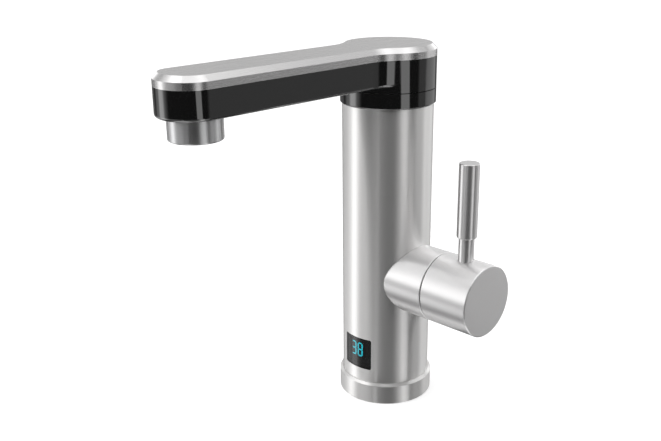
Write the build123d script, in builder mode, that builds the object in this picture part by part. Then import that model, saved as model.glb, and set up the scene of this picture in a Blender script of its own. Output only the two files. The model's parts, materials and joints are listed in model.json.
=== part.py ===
from build123d import *
import os
from math import sqrt

# Electric instant water heater tap. Millimetres.
# Origin: centre of the base underside, in the mouth of the water inlet. +Z up along the column,
# -Y along the spout, +X along the side handle. The display faces -Y.

os.makedirs("parts", exist_ok=True)

# Clearances
slip = 0.1  # radial, between fixed pieces that push together
running = 0.05  # radial, between a bearing and what turns or slides in it
face_gap = 0.05  # between flat faces that slide on each other
seat = 0.05  # between flat faces of pieces stacked and screwed together
edge = 0.3  # broken edge on turned pieces

# Small screws and their holes
screw_shank = 1.5
screw_hole = 1.6
screw_head = 2.6
screw_head_height = 1.7
driver_slot = 0.8
driver_depth = 0.6
pilot_floor = 1.0  # left under a screw's pilot hole

# Column and base
column_diameter = 60.0
column_wall = 1.2
column_top = 205.3
base_step = 2.2  # how far the base ring stands proud of the column
base_straight = 13.2  # height of the base ring's upright wall
base_bevel = 1.5
base_lip_height = 4.0  # the column stands on this inward lip
base_lip_width = 6.2
base_edge = 0.6
base_hole_inset = 3.2  # the screws' circle, inside the column's bore
base_screw_angle = 30.0
gasket_width = 2.6
gasket_height = 2.0
gasket_margin = 0.6

# Chassis that closes the column's foot
chassis_floor = 3.5
chassis_rim_wall = 2.6
chassis_rim_height = 12.0
chassis_boss_height = 10.0
chassis_boss_wall = 3.4
chassis_screw_boss = 3.2

# Water inlet, a G 1/2 socket at its thread's minor diameter
inlet_bore_radius = 9.3
inlet_bore_depth = 16.0
socket_flange_radius = 12.2
socket_shank_radius = 11.5
socket_floor = 4.0
inlet_nut_flats = 27.0
inlet_nut_height = 5.0

# Mains cord bush
cord_bore_radius = 3.7
gland_wall = 0.8
gland_flange_width = 1.3
gland_flange_height = 1.4
gland_gap = 1.1  # between the bush and the socket's flange
gland_bottom = 1.0
gland_depth = 0.5  # its flange's top below the chassis boss
gland_boss_wall = 1.8
cord_way_gap = 1.0  # around the bush's flange, in the carrier

# Hoses and the nipples that they push on
nipple_radius = 3.9
nipple_length = 7.0
nipple_bore_radius = 2.6
nipple_edge = 0.6
nipple_collar = 2.5  # width of the boss that a nipple stands on
hose_wall = 1.1
hose_grip = 6.0  # length of hose over a nipple

# Display
window_width = 22.96
window_bottom = 24.0
window_height = 22.2
window_corner = 1.2
lens_thickness = 2.75
lens_lap = 1.6  # flange behind the tube wall, on each side
digit_height = 10.2
digit_width = 4.3
digit_pitch = 5.5
digit_stroke = 0.95
digit_gap = 0.25
digit_centre = 37.45  # height of the digits' middle
digit_margin = 1.0  # pocket around the digits
digit_skin = 0.75  # lens left in front of the digits
module_margin = 2.6
module_depth = 3.7
module_gap = 0.8

# Boards and the frame that holds them
board_thickness = 1.6
board_corner = 1.0
case_corner = 0.8  # of the relay and the micro switch
board_lift = 1.0
display_board_height = 25.0
display_board_inset = 2.8
control_board_height = 43.0
control_board_extra = 3.6
control_board_inset = 14.6
display_chip_width = 5.0
display_chip_height = 4.0
display_chip_depth = 1.4
display_chip_pitch = 11.0
display_chip_rows = 8.0
control_chip_width = 6.0
control_chip_height = 5.0
control_chip_depth = 1.8
control_chip_pitch = 12.0
control_chip_rows = 11.0
relay_width = 14.0
relay_height = 19.0
relay_lift = 18.0  # its middle above the board's foot
relay_gap = 1.6  # to the hose
capacitor_height = 20.0
capacitor_lift = 8.0
capacitor_offset = 7.5
capacitor_gap = 1.1  # to the hose
capacitor_edge = 0.7
carrier_floor = 2.2
carrier_inset = 1.0
carrier_gap = 1.4  # round the corners of the inlet's nut
post_groove = 1.2
post_wall = 2.0
post_depth = 4.4
front_post_height = 34.0
back_post_height = 40.0

# Handle axis, side stub and knob
handle_height = 88.7
stub_radius = 23.5
stub_length = 19.4  # outside the column
handle_seam = 0.5
guide_inset = 1.1
guide_seat = 5.4  # depth of the guide ring's seat in the stub
guide_depth = 4.0  # how far it reaches into the knob
knob_length = 35.5
knob_bevel = 0.5
knob_wall = 2.7
knob_end_wall = 5.0
knob_boss_radius = 9.0
knob_boss_inset = 8.0
knob_pad_radius = 6.0
knob_pad_depth = 7.8
lever_offset = 17.7  # from the knob's inner end to the lever's axis
lever_thread_radius = 3.5
lever_stem_radius = 5.0
lever_stem_height = 15.3
lever_pin_radius = 3.0
lever_pin_length = 17.0
lever_pin_gap = 2.0  # left above the pin in the grip
lever_thread_gap = 1.0  # left under the stem's foot in the pad
lever_grip_radius = 6.5
lever_grip_length = 48.5
lever_grip_edge = 0.6
lever_foot_edge = 1.2
grub_radius = 2.0
grub_length = 5.5
grub_key = 2.0
plug_gap = 0.5
plug_depth = 4.2
spindle_flat = 0.8

# Valve and ceramic cartridge, along the handle's axis
barrel_radius = 20.3
barrel_back = 5.0  # behind the column's axis
barrel_edge = 1.0
barrel_setback = 1.4  # from the stub's end
cartridge_floor = 5.0
cartridge_radius = 17.4
cartridge_length = 27.5
cartridge_thread = 1.2
cartridge_nut_length = 8.0
nut_step = 1.2
nut_notch_width = 3.5
nut_notch_length = 5.0
nut_notch_depth = 3.0
nut_notch_inset = 2.0
rubber_seat = 1.4
disc_radius = 14.2
disc_thickness = 3.45
disc_step = 0.4
port_radius = 2.6
port_offset = 8.5
key_radius = 1.5
key_inset = 2.6
key_depth = 1.3
driver_thickness = 3.4
spindle_radius = 4.0
neck_wall = 4.0
grease_width = 2.0
grease_margin = 3.0

# Flow switch, on the back of the valve
switch_radius = 13.0
switch_chamber_radius = 10.0
chamber_depth = 2.0
chamber_wall = 3.0
pressure_hole = 1.0
diaphragm_thickness = 0.8
diaphragm_boss = 1.2
cap_depth = 4.6
cap_wall = 1.6
plunger_stem_radius = 2.5
plunger_disc_radius = 7.0
plunger_disc = 1.3
plunger_travel = 1.5
plunger_gap = 0.3
switch_gap = 3.1
pin_radius = 1.1
pin_length = 5.0
pin_offset = 4.8
foot_width = 6.0
foot_height = 3.0
foot_offset = 2.0
switch_width = 10.0
switch_length = 19.8
switch_depth = 6.4
button_radius = 1.2
button_height = 0.2
spring_wire = 0.6
spring_radius = 4.2
spring_turns = 3

# Heater
heater_gap = 14.0  # above the valve
heater_drop = 29.3  # its top below the column's
heater_clearance = 7.8  # around its wall
heater_wall = 2.5
heater_edge = 2.0
heater_flange_gap = 0.4
heater_flange_height = 4.0
heater_hole_inset = 4.3
heater_cap_height = 4.0
seal_radius = 1.0
seal_inset = 2.0
element_radius = 1.6
element_bend = 6.0
element_lift = 5.0
element_leads = 8.0
element_rows = ((0.0, 0.70), (0.43, 0.51), (-0.43, 0.51))  # row and half span, as shares of the bore
probe_radius = 2.5
probe_flats = 8.0
probe_head = 3.5
probe_length = 15.0  # below the cap's top
probe_inset = 3.5
cutout_radius = 7.0
cutout_height = 4.5
cutout_inset = 11.8
tab_width = 4.0
tab_thickness = 0.8
tab_height = 5.5
tab_pitch = 7.0

# Swivel on the column's top
ring_step = 1.3  # how far ring and hub stand proud of the column
ring_height = 10.05
ring_bevel = 1.0
ring_plug_depth = 9.3
ring_wall = 2.6
ring_plate = 3.5
ring_ribs = 6
ring_rib_height = 8.0
pillar_radius = 3.2
spigot_radius = 8.0
spigot_flange_width = 4.0
spigot_flange_height = 3.0
washer_inset = 6.4
washer_thickness = 1.4
washer_recess = 0.95
washer_bore_step = 1.0
oring_radius = 0.7
groove_play = 0.4
port_ring_depth = 1.0
port_ring_half = 2.0
cross_port_radius = 1.8
spigot_play = 0.4
nut_flats = 13.0
nut_height = 4.0
nut_flange_height = 1.0
nut_flange_width = 2.0

# Spout
swivel_seam = 0.5  # shows as the dark line between ring and hub
arm_width = 38.6
arm_rise = 3.65  # the arm's underside above the hub's
arm_edge = 2.0
outlet_reach = 154.2
tip_bulge = 2.0  # the end's arc is wider than half the arm by this
tip_corner = 16.0
neck_radius = 26.0
shell_height = 16.6
shell_wall = 2.4
shell_floor = 2.5
shell_lip_height = 2.65
shell_boss_radius = 3.6
shell_boss_height = 6.0
shell_boss_gap = 4.3
cover_band = 4.15
cover_bevel = 3.15
cover_wall = 1.5
cover_boss_step = 0.6
cover_screw_head = 2.8
cover_screw_length = 14.0
cover_screw_depth = 2.0
tube_radius = 4.0
tube_wall = 1.0
tube_lift = 0.5
tube_collar = 0.4
tube_nipple = 7.0
elbow_nipple = 6.5
rib_thickness = 1.6
rib_height = 9.0
rib_count = 5
rib_start = 14.0
rib_end = 24.0
socket_wall = 4.0
socket_collar = 2.0  # how far the nipple's collar stands out
socket_height = 7.0  # above the tube's axis
socket_drop = 2.35
socket_flange_width = 3.0
socket_flange_height = 2.0
channel_half = 2.4
channel_depth = 1.6
water_way_radius = 1.9

# Aerator
outlet_radius = 15.3
outlet_drop = 13.1
outlet_edge = 1.0
outlet_lip_height = 1.6
outlet_lip_width = 1.4
insert_radius = 11.0
insert_height = 3.4
insert_rim = 1.8
cell_half = 1.5
cell_wall = 0.5
cell_count = 5
outlet_seal_height = 2.0
neck_bore_radius = 8.0
elbow_wall = 2.5
elbow_roof = 3.0
elbow_head = 2.0
elbow_bevel = 1.5
elbow_way_radius = 2.0

# Places worked out from the sizes above: base and column
column_radius = column_diameter / 2
column_inner = column_radius - column_wall
plug_radius = column_inner - 2 * slip
base_radius = column_radius + base_step
base_top = base_straight + base_bevel
base_lip_radius = column_inner - base_lip_width
base_hole_circle = column_inner - base_hole_inset
gasket_outer = base_radius - base_edge - gasket_margin
gasket_inner = gasket_outer - gasket_width
chassis_bottom = base_lip_height
chassis_rim_top = chassis_bottom + chassis_rim_height
chassis_boss_top = chassis_bottom + chassis_boss_height
gland_radius = cord_bore_radius + gland_wall
gland_flange_radius = gland_radius + gland_flange_width
gland_offset = socket_flange_radius + gland_gap + gland_radius
gland_top = chassis_boss_top - gland_depth
socket_top = inlet_bore_depth + socket_floor
hose_radius = nipple_radius + slip
hose_outer = hose_radius + hose_wall

# Display and boards
window_top = window_bottom + window_height
window_middle = (window_bottom + window_top) / 2
lens_face = column_radius - running
lens_back = lens_face - lens_thickness
pocket_face = lens_face - digit_skin
digits_width = digit_pitch + digit_width
module_front = sqrt(lens_back**2 - digits_width**2 / 4) - module_gap
board_front = module_front - module_depth - seat
display_board_width = column_inner - display_board_inset
control_board_width = column_inner + control_board_extra
control_board_y = column_inner - control_board_inset
carrier_bottom = chassis_rim_top + seat
carrier_outer = plug_radius - carrier_inset
carrier_bore = inlet_nut_flats / sqrt(3) + carrier_gap
board_bottom = carrier_bottom + carrier_floor + board_lift
board_space = control_board_y - hose_outer

# Valve, cartridge and handle
stub_end = column_radius + stub_length
guide_start = stub_end - guide_seat
guide_radius = stub_radius - guide_inset
barrel_end = stub_end - barrel_setback
knob_start = stub_end + handle_seam
knob_end = knob_start + knob_length
knob_hollow_end = knob_end - knob_end_wall
knob_boss_start = knob_start + knob_boss_inset
lever_x = knob_start + lever_offset
lever_foot = handle_height + stub_radius
knob_pad_bottom = lever_foot - knob_wall - knob_pad_depth
lever_thread_bottom = knob_pad_bottom + lever_thread_gap
grip_bottom = lever_foot + lever_stem_height
spindle_end = knob_hollow_end - 10 * slip
cartridge_start = cartridge_floor + rubber_seat
cartridge_end = cartridge_start + cartridge_length
fixed_disc_start = cartridge_start + seat
moving_disc_start = fixed_disc_start + disc_thickness + face_gap
driver_start = moving_disc_start + disc_thickness + slip
driver_end = driver_start + driver_thickness
neck_end = cartridge_end + cartridge_nut_length + slip
key_offset = disc_radius - key_inset
valve_bottom = handle_height - barrel_radius
valve_top = handle_height + barrel_radius

# Flow switch, on the valve's back: these run towards -X
chamber_mouth = -barrel_back - chamber_wall
diaphragm_front = chamber_mouth - seat
diaphragm_back = diaphragm_front - diaphragm_thickness
cap_front = diaphragm_back - seat
cap_floor = cap_front - cap_depth
cap_back = cap_floor - cap_wall
plunger_front = diaphragm_back - face_gap
plunger_end = cap_back - switch_gap + plunger_travel + plunger_gap
switch_face = cap_back - switch_gap
spring_front = plunger_front - plunger_disc - spring_wire / 2 - face_gap
spring_back = cap_floor + spring_wire / 2 + face_gap

# Heater
heater_bottom = valve_top + heater_gap
heater_top = column_top - heater_drop
heater_height = heater_top - heater_bottom
heater_radius = column_inner - heater_clearance
heater_inner = heater_radius - heater_wall
heater_flange_radius = column_inner - heater_flange_gap
heater_hole_circle = column_inner - heater_hole_inset
seal_circle = heater_inner + seal_inset
cap_bottom = heater_top + seat
cap_top = cap_bottom + heater_cap_height
probe_y = -(heater_inner - probe_inset)
cutout_y = column_inner - cutout_inset

# Swivel and spout
ring_radius = column_radius + ring_step
ring_top = column_top + ring_height
ring_plug_bottom = column_top - ring_plug_depth
spigot_flange_radius = spigot_radius + spigot_flange_width
spigot_boss_bottom = ring_plug_bottom + spigot_flange_height
spigot_bottom = ring_plug_bottom - nipple_length
washer_outer = ring_radius - washer_inset
washer_bore = spigot_flange_radius + washer_bore_step
hub_radius = ring_radius
hub_bottom = ring_top + swivel_seam
hub_floor = hub_bottom + shell_floor
arm_bottom = hub_bottom + arm_rise
arm_floor = arm_bottom + shell_floor
shell_top = arm_bottom + shell_height
cover_top = shell_top + cover_band + cover_bevel
cover_hole_circle = hub_radius - shell_wall - shell_boss_gap - shell_boss_radius
tip_radius = arm_width / 2 + tip_bulge
tube_height = arm_floor + tube_radius + tube_lift
tube_bore = tube_radius - tube_wall
socket_radius = spigot_radius + running + socket_wall
socket_nipple_start = socket_radius + socket_collar
hub_socket_top = tube_height + socket_height
groove_half = oring_radius + groove_play
groove_offset = (port_ring_half + hub_socket_top - tube_height) / 2 + groove_play
groove_heights = (tube_height - groove_offset, tube_height + groove_offset)
spigot_top = hub_socket_top + spigot_play
spigot_stub_top = spigot_top + nut_height + 10 * slip

# Outlet
outlet_bottom = arm_bottom - outlet_drop
insert_bottom = outlet_bottom + outlet_lip_height + seat
insert_top = insert_bottom + insert_height
elbow_bottom = insert_top + outlet_seal_height
elbow_radius = insert_radius + elbow_wall
elbow_top = tube_height + tube_radius + elbow_head
elbow_collar_start = outlet_reach - elbow_radius - 5 * slip
elbow_nipple_start = elbow_collar_start - elbow_nipple
tube_start = socket_nipple_start + seat
tube_end = elbow_collar_start - seat


def level(z, x=0.0, y=0.0):
    """Horizontal plane at a height, centred on a point."""
    return Plane(origin=(x, y, z), x_dir=(1, 0, 0), z_dir=(0, 0, 1))


def across_handle(x):
    """Plane square to the handle's axis, at a distance x from the column's axis."""
    return Plane(origin=(x, 0, handle_height), x_dir=(0, 1, 0), z_dir=(1, 0, 0))


def across_spout(y, z, x=0.0):
    """Upright plane that faces along the spout, centred on a point."""
    return Plane(origin=(x, y, z), x_dir=(1, 0, 0), z_dir=(0, -1, 0))


def annulus(plane, outer, inner=0.0):
    """Disc on a plane, with a round hole where inner is given."""
    with BuildSketch(plane) as flat:
        Circle(outer)
        if inner:
            Circle(inner, mode=Mode.SUBTRACT)
    return flat.sketch


def ring_of_discs(plane, circle, count, start, radius):
    """Equal discs evenly round a circle."""
    with BuildSketch(plane) as flat:
        with PolarLocations(circle, count, start_angle=start):
            Circle(radius)
    return flat.sketch


def pair_of_discs(plane, offset, radius):
    """Two discs, above and below a plane's centre."""
    with BuildSketch(plane) as flat:
        with Locations((0, offset), (0, -offset)):
            Circle(radius)
    return flat.sketch


def rectangle(plane, width, height, corner=0.0):
    """Rectangle on a plane, with round corners where a corner is given."""
    with BuildSketch(plane) as flat:
        if corner:
            RectangleRounded(width, height, corner)
        else:
            Rectangle(width, height)
    return flat.sketch


def hexagon(plane, flats):
    """Hexagon on a plane, sized across its flats."""
    with BuildSketch(plane) as flat:
        RegularPolygon(flats / 2, 6, major_radius=False)
    return flat.sketch


def turned(*points):
    """Closed straight-sided profile in the XZ plane, for a piece turned about the column's axis."""
    with BuildSketch(Plane.XZ) as flat:
        with BuildLine():
            Polyline(*points, close=True)
        make_face()
    return flat.sketch


def spout_plan(height, inset):
    """Hub, neck, arm and rounded end seen from above, drawn inside the outline by the inset."""
    width = arm_width - 2 * inset
    with BuildSketch(level(height)) as plan:
        with Locations((0, -outlet_reach)):
            Circle(tip_radius - inset)
            Rectangle(width, 3 * tip_radius, mode=Mode.INTERSECT)
        fillet(plan.vertices().group_by(Axis.Y)[0], tip_corner - inset)
        with Locations((0, -outlet_reach / 2)):
            Rectangle(width, outlet_reach)
        Circle(hub_radius - inset)
        neck = plan.vertices().filter_by_position(Axis.Y, -hub_radius, 0)
        fillet(neck, neck_radius + inset)
    return plan.sketch


def straight_hose(bottom, top):
    """Hose about the column's axis, between two heights."""
    with BuildPart() as hose:
        extrude(annulus(level(bottom), hose_outer, hose_radius), amount=top - bottom)
    return hose


# Base ring: a turned flange with an inward lip for the column and a groove for the gasket
with BuildPart() as base_ring:
    profile = turned(
        (base_lip_radius, 0),
        (gasket_inner, 0),
        (gasket_inner, gasket_height),
        (gasket_outer, gasket_height),
        (gasket_outer, 0),
        (base_radius - base_edge, 0),
        (base_radius, base_edge),
        (base_radius, base_straight),
        (base_radius - base_bevel, base_top),
        (column_radius + slip, base_top),
        (column_radius + slip, base_lip_height),
        (base_lip_radius, base_lip_height),
    )
    revolve(profile, axis=Axis.Z)
    holes = ring_of_discs(level(0), base_hole_circle, 3, base_screw_angle, screw_hole)
    extrude(holes, amount=base_lip_height, mode=Mode.SUBTRACT)
    with PolarLocations(base_hole_circle, 3, start_angle=base_screw_angle):
        Cone(
            screw_head + slip,
            screw_hole,
            screw_head_height,
            align=(Align.CENTER, Align.CENTER, Align.MIN),
            mode=Mode.SUBTRACT,
        )
    bush_way = annulus(level(0, y=gland_offset), gland_radius + slip)
    extrude(bush_way, amount=base_lip_height, mode=Mode.SUBTRACT)
base_ring.part.label = "base_ring"
export_step(base_ring.part, "parts/base_ring.step")

# Gasket: square rubber ring, flush with the base when the tap is clamped down
with BuildPart() as base_gasket:
    flat_ring = annulus(level(0), gasket_outer - slip, gasket_inner + slip)
    extrude(flat_ring, amount=gasket_height - slip)
base_gasket.part.label = "base_gasket"
export_step(base_gasket.part, "parts/base_gasket.step")

# Chassis: moulded floor with an upright rim and bosses for the socket, the cord bush and the screws
with BuildPart() as base_chassis:
    extrude(annulus(level(chassis_bottom), plug_radius), amount=chassis_floor)
    rim = annulus(level(chassis_bottom), plug_radius, plug_radius - chassis_rim_wall)
    extrude(rim, amount=chassis_rim_height)
    middle_boss = annulus(level(chassis_bottom), socket_shank_radius + slip + chassis_boss_wall)
    extrude(middle_boss, amount=chassis_boss_height)
    bush_boss = annulus(
        level(chassis_bottom, y=gland_offset), gland_flange_radius + gland_boss_wall
    )
    extrude(bush_boss, amount=chassis_boss_height)
    posts = ring_of_discs(
        level(chassis_bottom), base_hole_circle, 3, base_screw_angle, chassis_screw_boss
    )
    extrude(posts, amount=chassis_boss_height)
    inside = annulus(level(chassis_bottom), plug_radius)
    extrude(inside, amount=chassis_rim_height, mode=Mode.INTERSECT)
    socket_hole = annulus(level(chassis_bottom), socket_shank_radius + slip)
    extrude(socket_hole, amount=chassis_rim_height, mode=Mode.SUBTRACT)
    cord_hole = annulus(level(chassis_bottom, y=gland_offset), gland_radius + slip)
    extrude(cord_hole, amount=chassis_rim_height, mode=Mode.SUBTRACT)
    flange_bottom = gland_top - gland_flange_height - slip
    flange_seat = annulus(level(flange_bottom, y=gland_offset), gland_flange_radius + slip)
    extrude(flange_seat, amount=chassis_rim_height, mode=Mode.SUBTRACT)
    pilot_holes = ring_of_discs(
        level(chassis_bottom), base_hole_circle, 3, base_screw_angle, screw_hole
    )
    extrude(pilot_holes, amount=chassis_boss_height - pilot_floor, mode=Mode.SUBTRACT)
base_chassis.part.label = "base_chassis"
export_step(base_chassis.part, "parts/base_chassis.step")

# Three countersunk screws from below, through the lip into the chassis
with BuildPart() as base_screws:
    upwards = (Align.CENTER, Align.CENTER, Align.MIN)
    with PolarLocations(base_hole_circle, 3, start_angle=base_screw_angle):
        Cone(screw_head, screw_shank, screw_head_height - seat, align=upwards)
        Cylinder(screw_shank, chassis_boss_top - 2 * pilot_floor, align=upwards)
        Cylinder(driver_slot, driver_depth, align=upwards, mode=Mode.SUBTRACT)
base_screws.part.label = "base_screws"
export_step(base_screws.part, "parts/base_screws.step")

# Inlet socket: turned brass, threaded mouth flush with the base, nipple on top
with BuildPart() as inlet_socket:
    nipple_top = socket_top + nipple_length
    profile = turned(
        (inlet_bore_radius, 0),
        (socket_flange_radius, 0),
        (socket_flange_radius, chassis_bottom - seat),
        (socket_shank_radius, chassis_bottom - seat),
        (socket_shank_radius, socket_top),
        (nipple_radius, socket_top),
        (nipple_radius, nipple_top - nipple_edge),
        (nipple_radius - nipple_edge, nipple_top),
        (nipple_bore_radius, nipple_top),
        (nipple_bore_radius, inlet_bore_depth),
        (inlet_bore_radius, inlet_bore_depth),
    )
    revolve(profile, axis=Axis.Z)
inlet_socket.part.label = "inlet_socket"
export_step(inlet_socket.part, "parts/inlet_socket.step")

# Ring nut that holds the socket in the chassis
with BuildPart() as inlet_nut:
    nut_bottom = level(chassis_boss_top + seat)
    extrude(hexagon(nut_bottom, inlet_nut_flats), amount=inlet_nut_height)
    thread = annulus(nut_bottom, socket_shank_radius + running)
    extrude(thread, amount=inlet_nut_height, mode=Mode.SUBTRACT)
inlet_nut.part.label = "inlet_nut"
export_step(inlet_nut.part, "parts/inlet_nut.step")

# Bush for the mains cord, dropped in from above
with BuildPart() as cord_gland:
    sleeve = annulus(level(gland_bottom, y=gland_offset), gland_radius, cord_bore_radius)
    extrude(sleeve, amount=gland_top - gland_bottom)
    collar = annulus(level(gland_top, y=gland_offset), gland_flange_radius, cord_bore_radius)
    extrude(collar, amount=-gland_flange_height)
cord_gland.part.label = "cord_gland"
export_step(cord_gland.part, "parts/cord_gland.step")

# Column: thin tube with the window's cut-out and the side hole for the valve
with BuildPart() as column_shell:
    tube = annulus(level(base_lip_height), column_radius, column_inner)
    extrude(tube, amount=column_top - base_lip_height)
    cut_out = rectangle(
        across_spout(0, window_middle),
        window_width + 2 * slip,
        window_height + 2 * slip,
        window_corner + slip,
    )
    extrude(cut_out, amount=2 * column_radius, mode=Mode.SUBTRACT)
    side_hole = annulus(across_handle(0), barrel_radius + 7 * slip)
    extrude(side_hole, amount=2 * column_radius, mode=Mode.SUBTRACT)
column_shell.part.label = "column_shell"
export_step(column_shell.part, "parts/column_shell.step")

# Window: curved lens flush with the tube, a flange behind the tube wall and a pocket for the digits
with BuildPart() as digit_pocket:
    pocket_height = digit_height + 2 * digit_margin
    mouth = rectangle(
        across_spout(0, digit_centre), digits_width + 2 * digit_margin, pocket_height
    )
    extrude(mouth, amount=2 * column_radius)
    pocket_round = annulus(level(window_bottom), pocket_face)
    extrude(pocket_round, amount=window_height, mode=Mode.INTERSECT)
with BuildPart() as lens_flange:
    flange_plan = rectangle(
        across_spout(0, window_middle),
        window_width + 2 * lens_lap,
        window_height + 2 * lens_lap,
        window_corner + lens_lap,
    )
    extrude(flange_plan, amount=2 * column_radius)
    flange_round = annulus(level(window_bottom - lens_lap), plug_radius, lens_back)
    extrude(flange_round, amount=window_height + 2 * lens_lap, mode=Mode.INTERSECT)
with BuildPart() as display_window:
    lens_plan = rectangle(
        across_spout(0, window_middle), window_width, window_height, window_corner
    )
    extrude(lens_plan, amount=2 * column_radius)
    lens_round = annulus(level(window_bottom), lens_face, lens_back)
    extrude(lens_round, amount=window_height, mode=Mode.INTERSECT)
    add(lens_flange.part)
    add(digit_pocket.part, mode=Mode.SUBTRACT)
display_window.part.label = "display_window"
export_step(display_window.part, "parts/display_window.step")

# Digits: light guides that reach from the LED block to just under the lens's skin
half_height = (digit_height - digit_stroke) / 2
half_width = (digit_width - digit_stroke) / 2
segment_places = {
    "a": (0, half_height, 0),
    "b": (half_width, half_height / 2, 90),
    "c": (half_width, -half_height / 2, 90),
    "d": (0, -half_height, 0),
    "e": (-half_width, -half_height / 2, 90),
    "f": (-half_width, half_height / 2, 90),
    "g": (0, 0, 0),
}
lit_segments = ("abcdg", "abcdefg")


def segment(length):
    """One lit bar with pointed ends, lying along X."""
    half = length / 2
    tip = digit_stroke / 2
    with BuildSketch() as bar:
        with BuildLine():
            Polyline((-half, 0), (tip - half, tip), (half - tip, tip), (half, 0))
            mirror(about=Plane.XZ)
        make_face()
    return bar.sketch


with BuildPart() as display_digits:
    with BuildSketch(across_spout(-module_front, digit_centre)):
        for digit, lit in enumerate(lit_segments):
            middle = (digit - 0.5) * digit_pitch
            for name in lit:
                x, z, turn = segment_places[name]
                length = (half_height if turn else 2 * half_width) - digit_gap
                with Locations(Location((middle + x, z, 0), (0, 0, turn))):
                    add(segment(length))
    extrude(amount=column_radius)
    under_skin = annulus(level(window_bottom), pocket_face - running)
    extrude(under_skin, amount=window_height, mode=Mode.INTERSECT)
display_digits.part.label = "display_digits"
export_step(display_digits.part, "parts/display_digits.step")

# LED block behind the digits, its back on the board
with BuildPart() as display_module:
    block = rectangle(
        across_spout(-board_front - seat, digit_centre),
        digits_width + 2 * module_margin,
        digit_height + 4 * digit_margin,
        board_corner,
    )
    extrude(block, amount=module_depth - seat)
display_module.part.label = "display_module"
export_step(display_module.part, "parts/display_module.step")

# Display board, with its chips on the back
with BuildPart() as display_board:
    front = rectangle(
        across_spout(-board_front, window_middle),
        display_board_width,
        display_board_height,
        board_corner,
    )
    extrude(front, amount=-board_thickness)
    with BuildSketch(across_spout(-board_front + board_thickness, window_middle)):
        with GridLocations(display_chip_pitch, display_chip_rows, 2, 2):
            Rectangle(display_chip_width, display_chip_height)
    extrude(amount=-display_chip_depth)
display_board.part.label = "display_board"
export_step(display_board.part, "parts/display_board.step")

# Carrier: flat ring on the chassis rim and four grooved posts that hold both boards by their edges
with BuildPart() as board_carrier:
    floor_ring = annulus(level(carrier_bottom), carrier_outer, carrier_bore)
    extrude(floor_ring, amount=carrier_floor)
    boards = (
        (-board_front + board_thickness / 2, display_board_width, front_post_height),
        (control_board_y + board_thickness / 2, control_board_width, back_post_height),
    )
    post_width = post_groove + post_wall
    for board_y, board_width, post_height in boards:
        post_x = board_width / 2 - post_groove + post_width / 2
        for side in (-post_x, post_x):
            foot = rectangle(level(carrier_bottom, side, board_y), post_width, post_depth)
            extrude(foot, amount=post_height)
        groove = rectangle(
            level(carrier_bottom + carrier_floor, 0, board_y),
            board_width + 2 * slip,
            board_thickness + 2 * slip,
        )
        extrude(groove, amount=post_height, mode=Mode.SUBTRACT)
    cord_way = annulus(level(carrier_bottom, y=gland_offset), gland_flange_radius + cord_way_gap)
    extrude(cord_way, amount=carrier_floor, mode=Mode.SUBTRACT)
board_carrier.part.label = "board_carrier"
export_step(board_carrier.part, "parts/board_carrier.step")

# Power board with its relay and capacitor
with BuildPart() as control_board:
    board_middle = board_bottom + control_board_height / 2
    plan = rectangle(
        across_spout(control_board_y, board_middle),
        control_board_width,
        control_board_height,
        board_corner,
    )
    extrude(plan, amount=-board_thickness)
    with BuildSketch(across_spout(control_board_y + board_thickness, board_middle)):
        with GridLocations(control_chip_pitch, control_chip_rows, 2, 3):
            Rectangle(control_chip_width, control_chip_height)
    extrude(amount=-control_chip_depth)
control_board.part.label = "control_board"
export_step(control_board.part, "parts/control_board.step")

with BuildPart() as power_relay:
    relay_x = -(relay_width / 2 + 2 * slip)
    relay_z = board_bottom + relay_lift
    relay_plan = rectangle(
        across_spout(control_board_y - seat, relay_z, relay_x),
        relay_width,
        relay_height,
        case_corner,
    )
    extrude(relay_plan, amount=board_space - relay_gap)
power_relay.part.label = "power_relay"
export_step(power_relay.part, "parts/power_relay.step")

with BuildPart() as filter_capacitor:
    can_radius = (board_space - capacitor_gap) / 2
    can_foot = level(
        board_bottom + capacitor_lift, capacitor_offset, control_board_y - seat - can_radius
    )
    extrude(annulus(can_foot, can_radius), amount=capacitor_height)
    fillet(filter_capacitor.edges().filter_by(GeomType.CIRCLE), capacitor_edge)
filter_capacitor.part.label = "filter_capacitor"
export_step(filter_capacitor.part, "parts/filter_capacitor.step")

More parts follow.
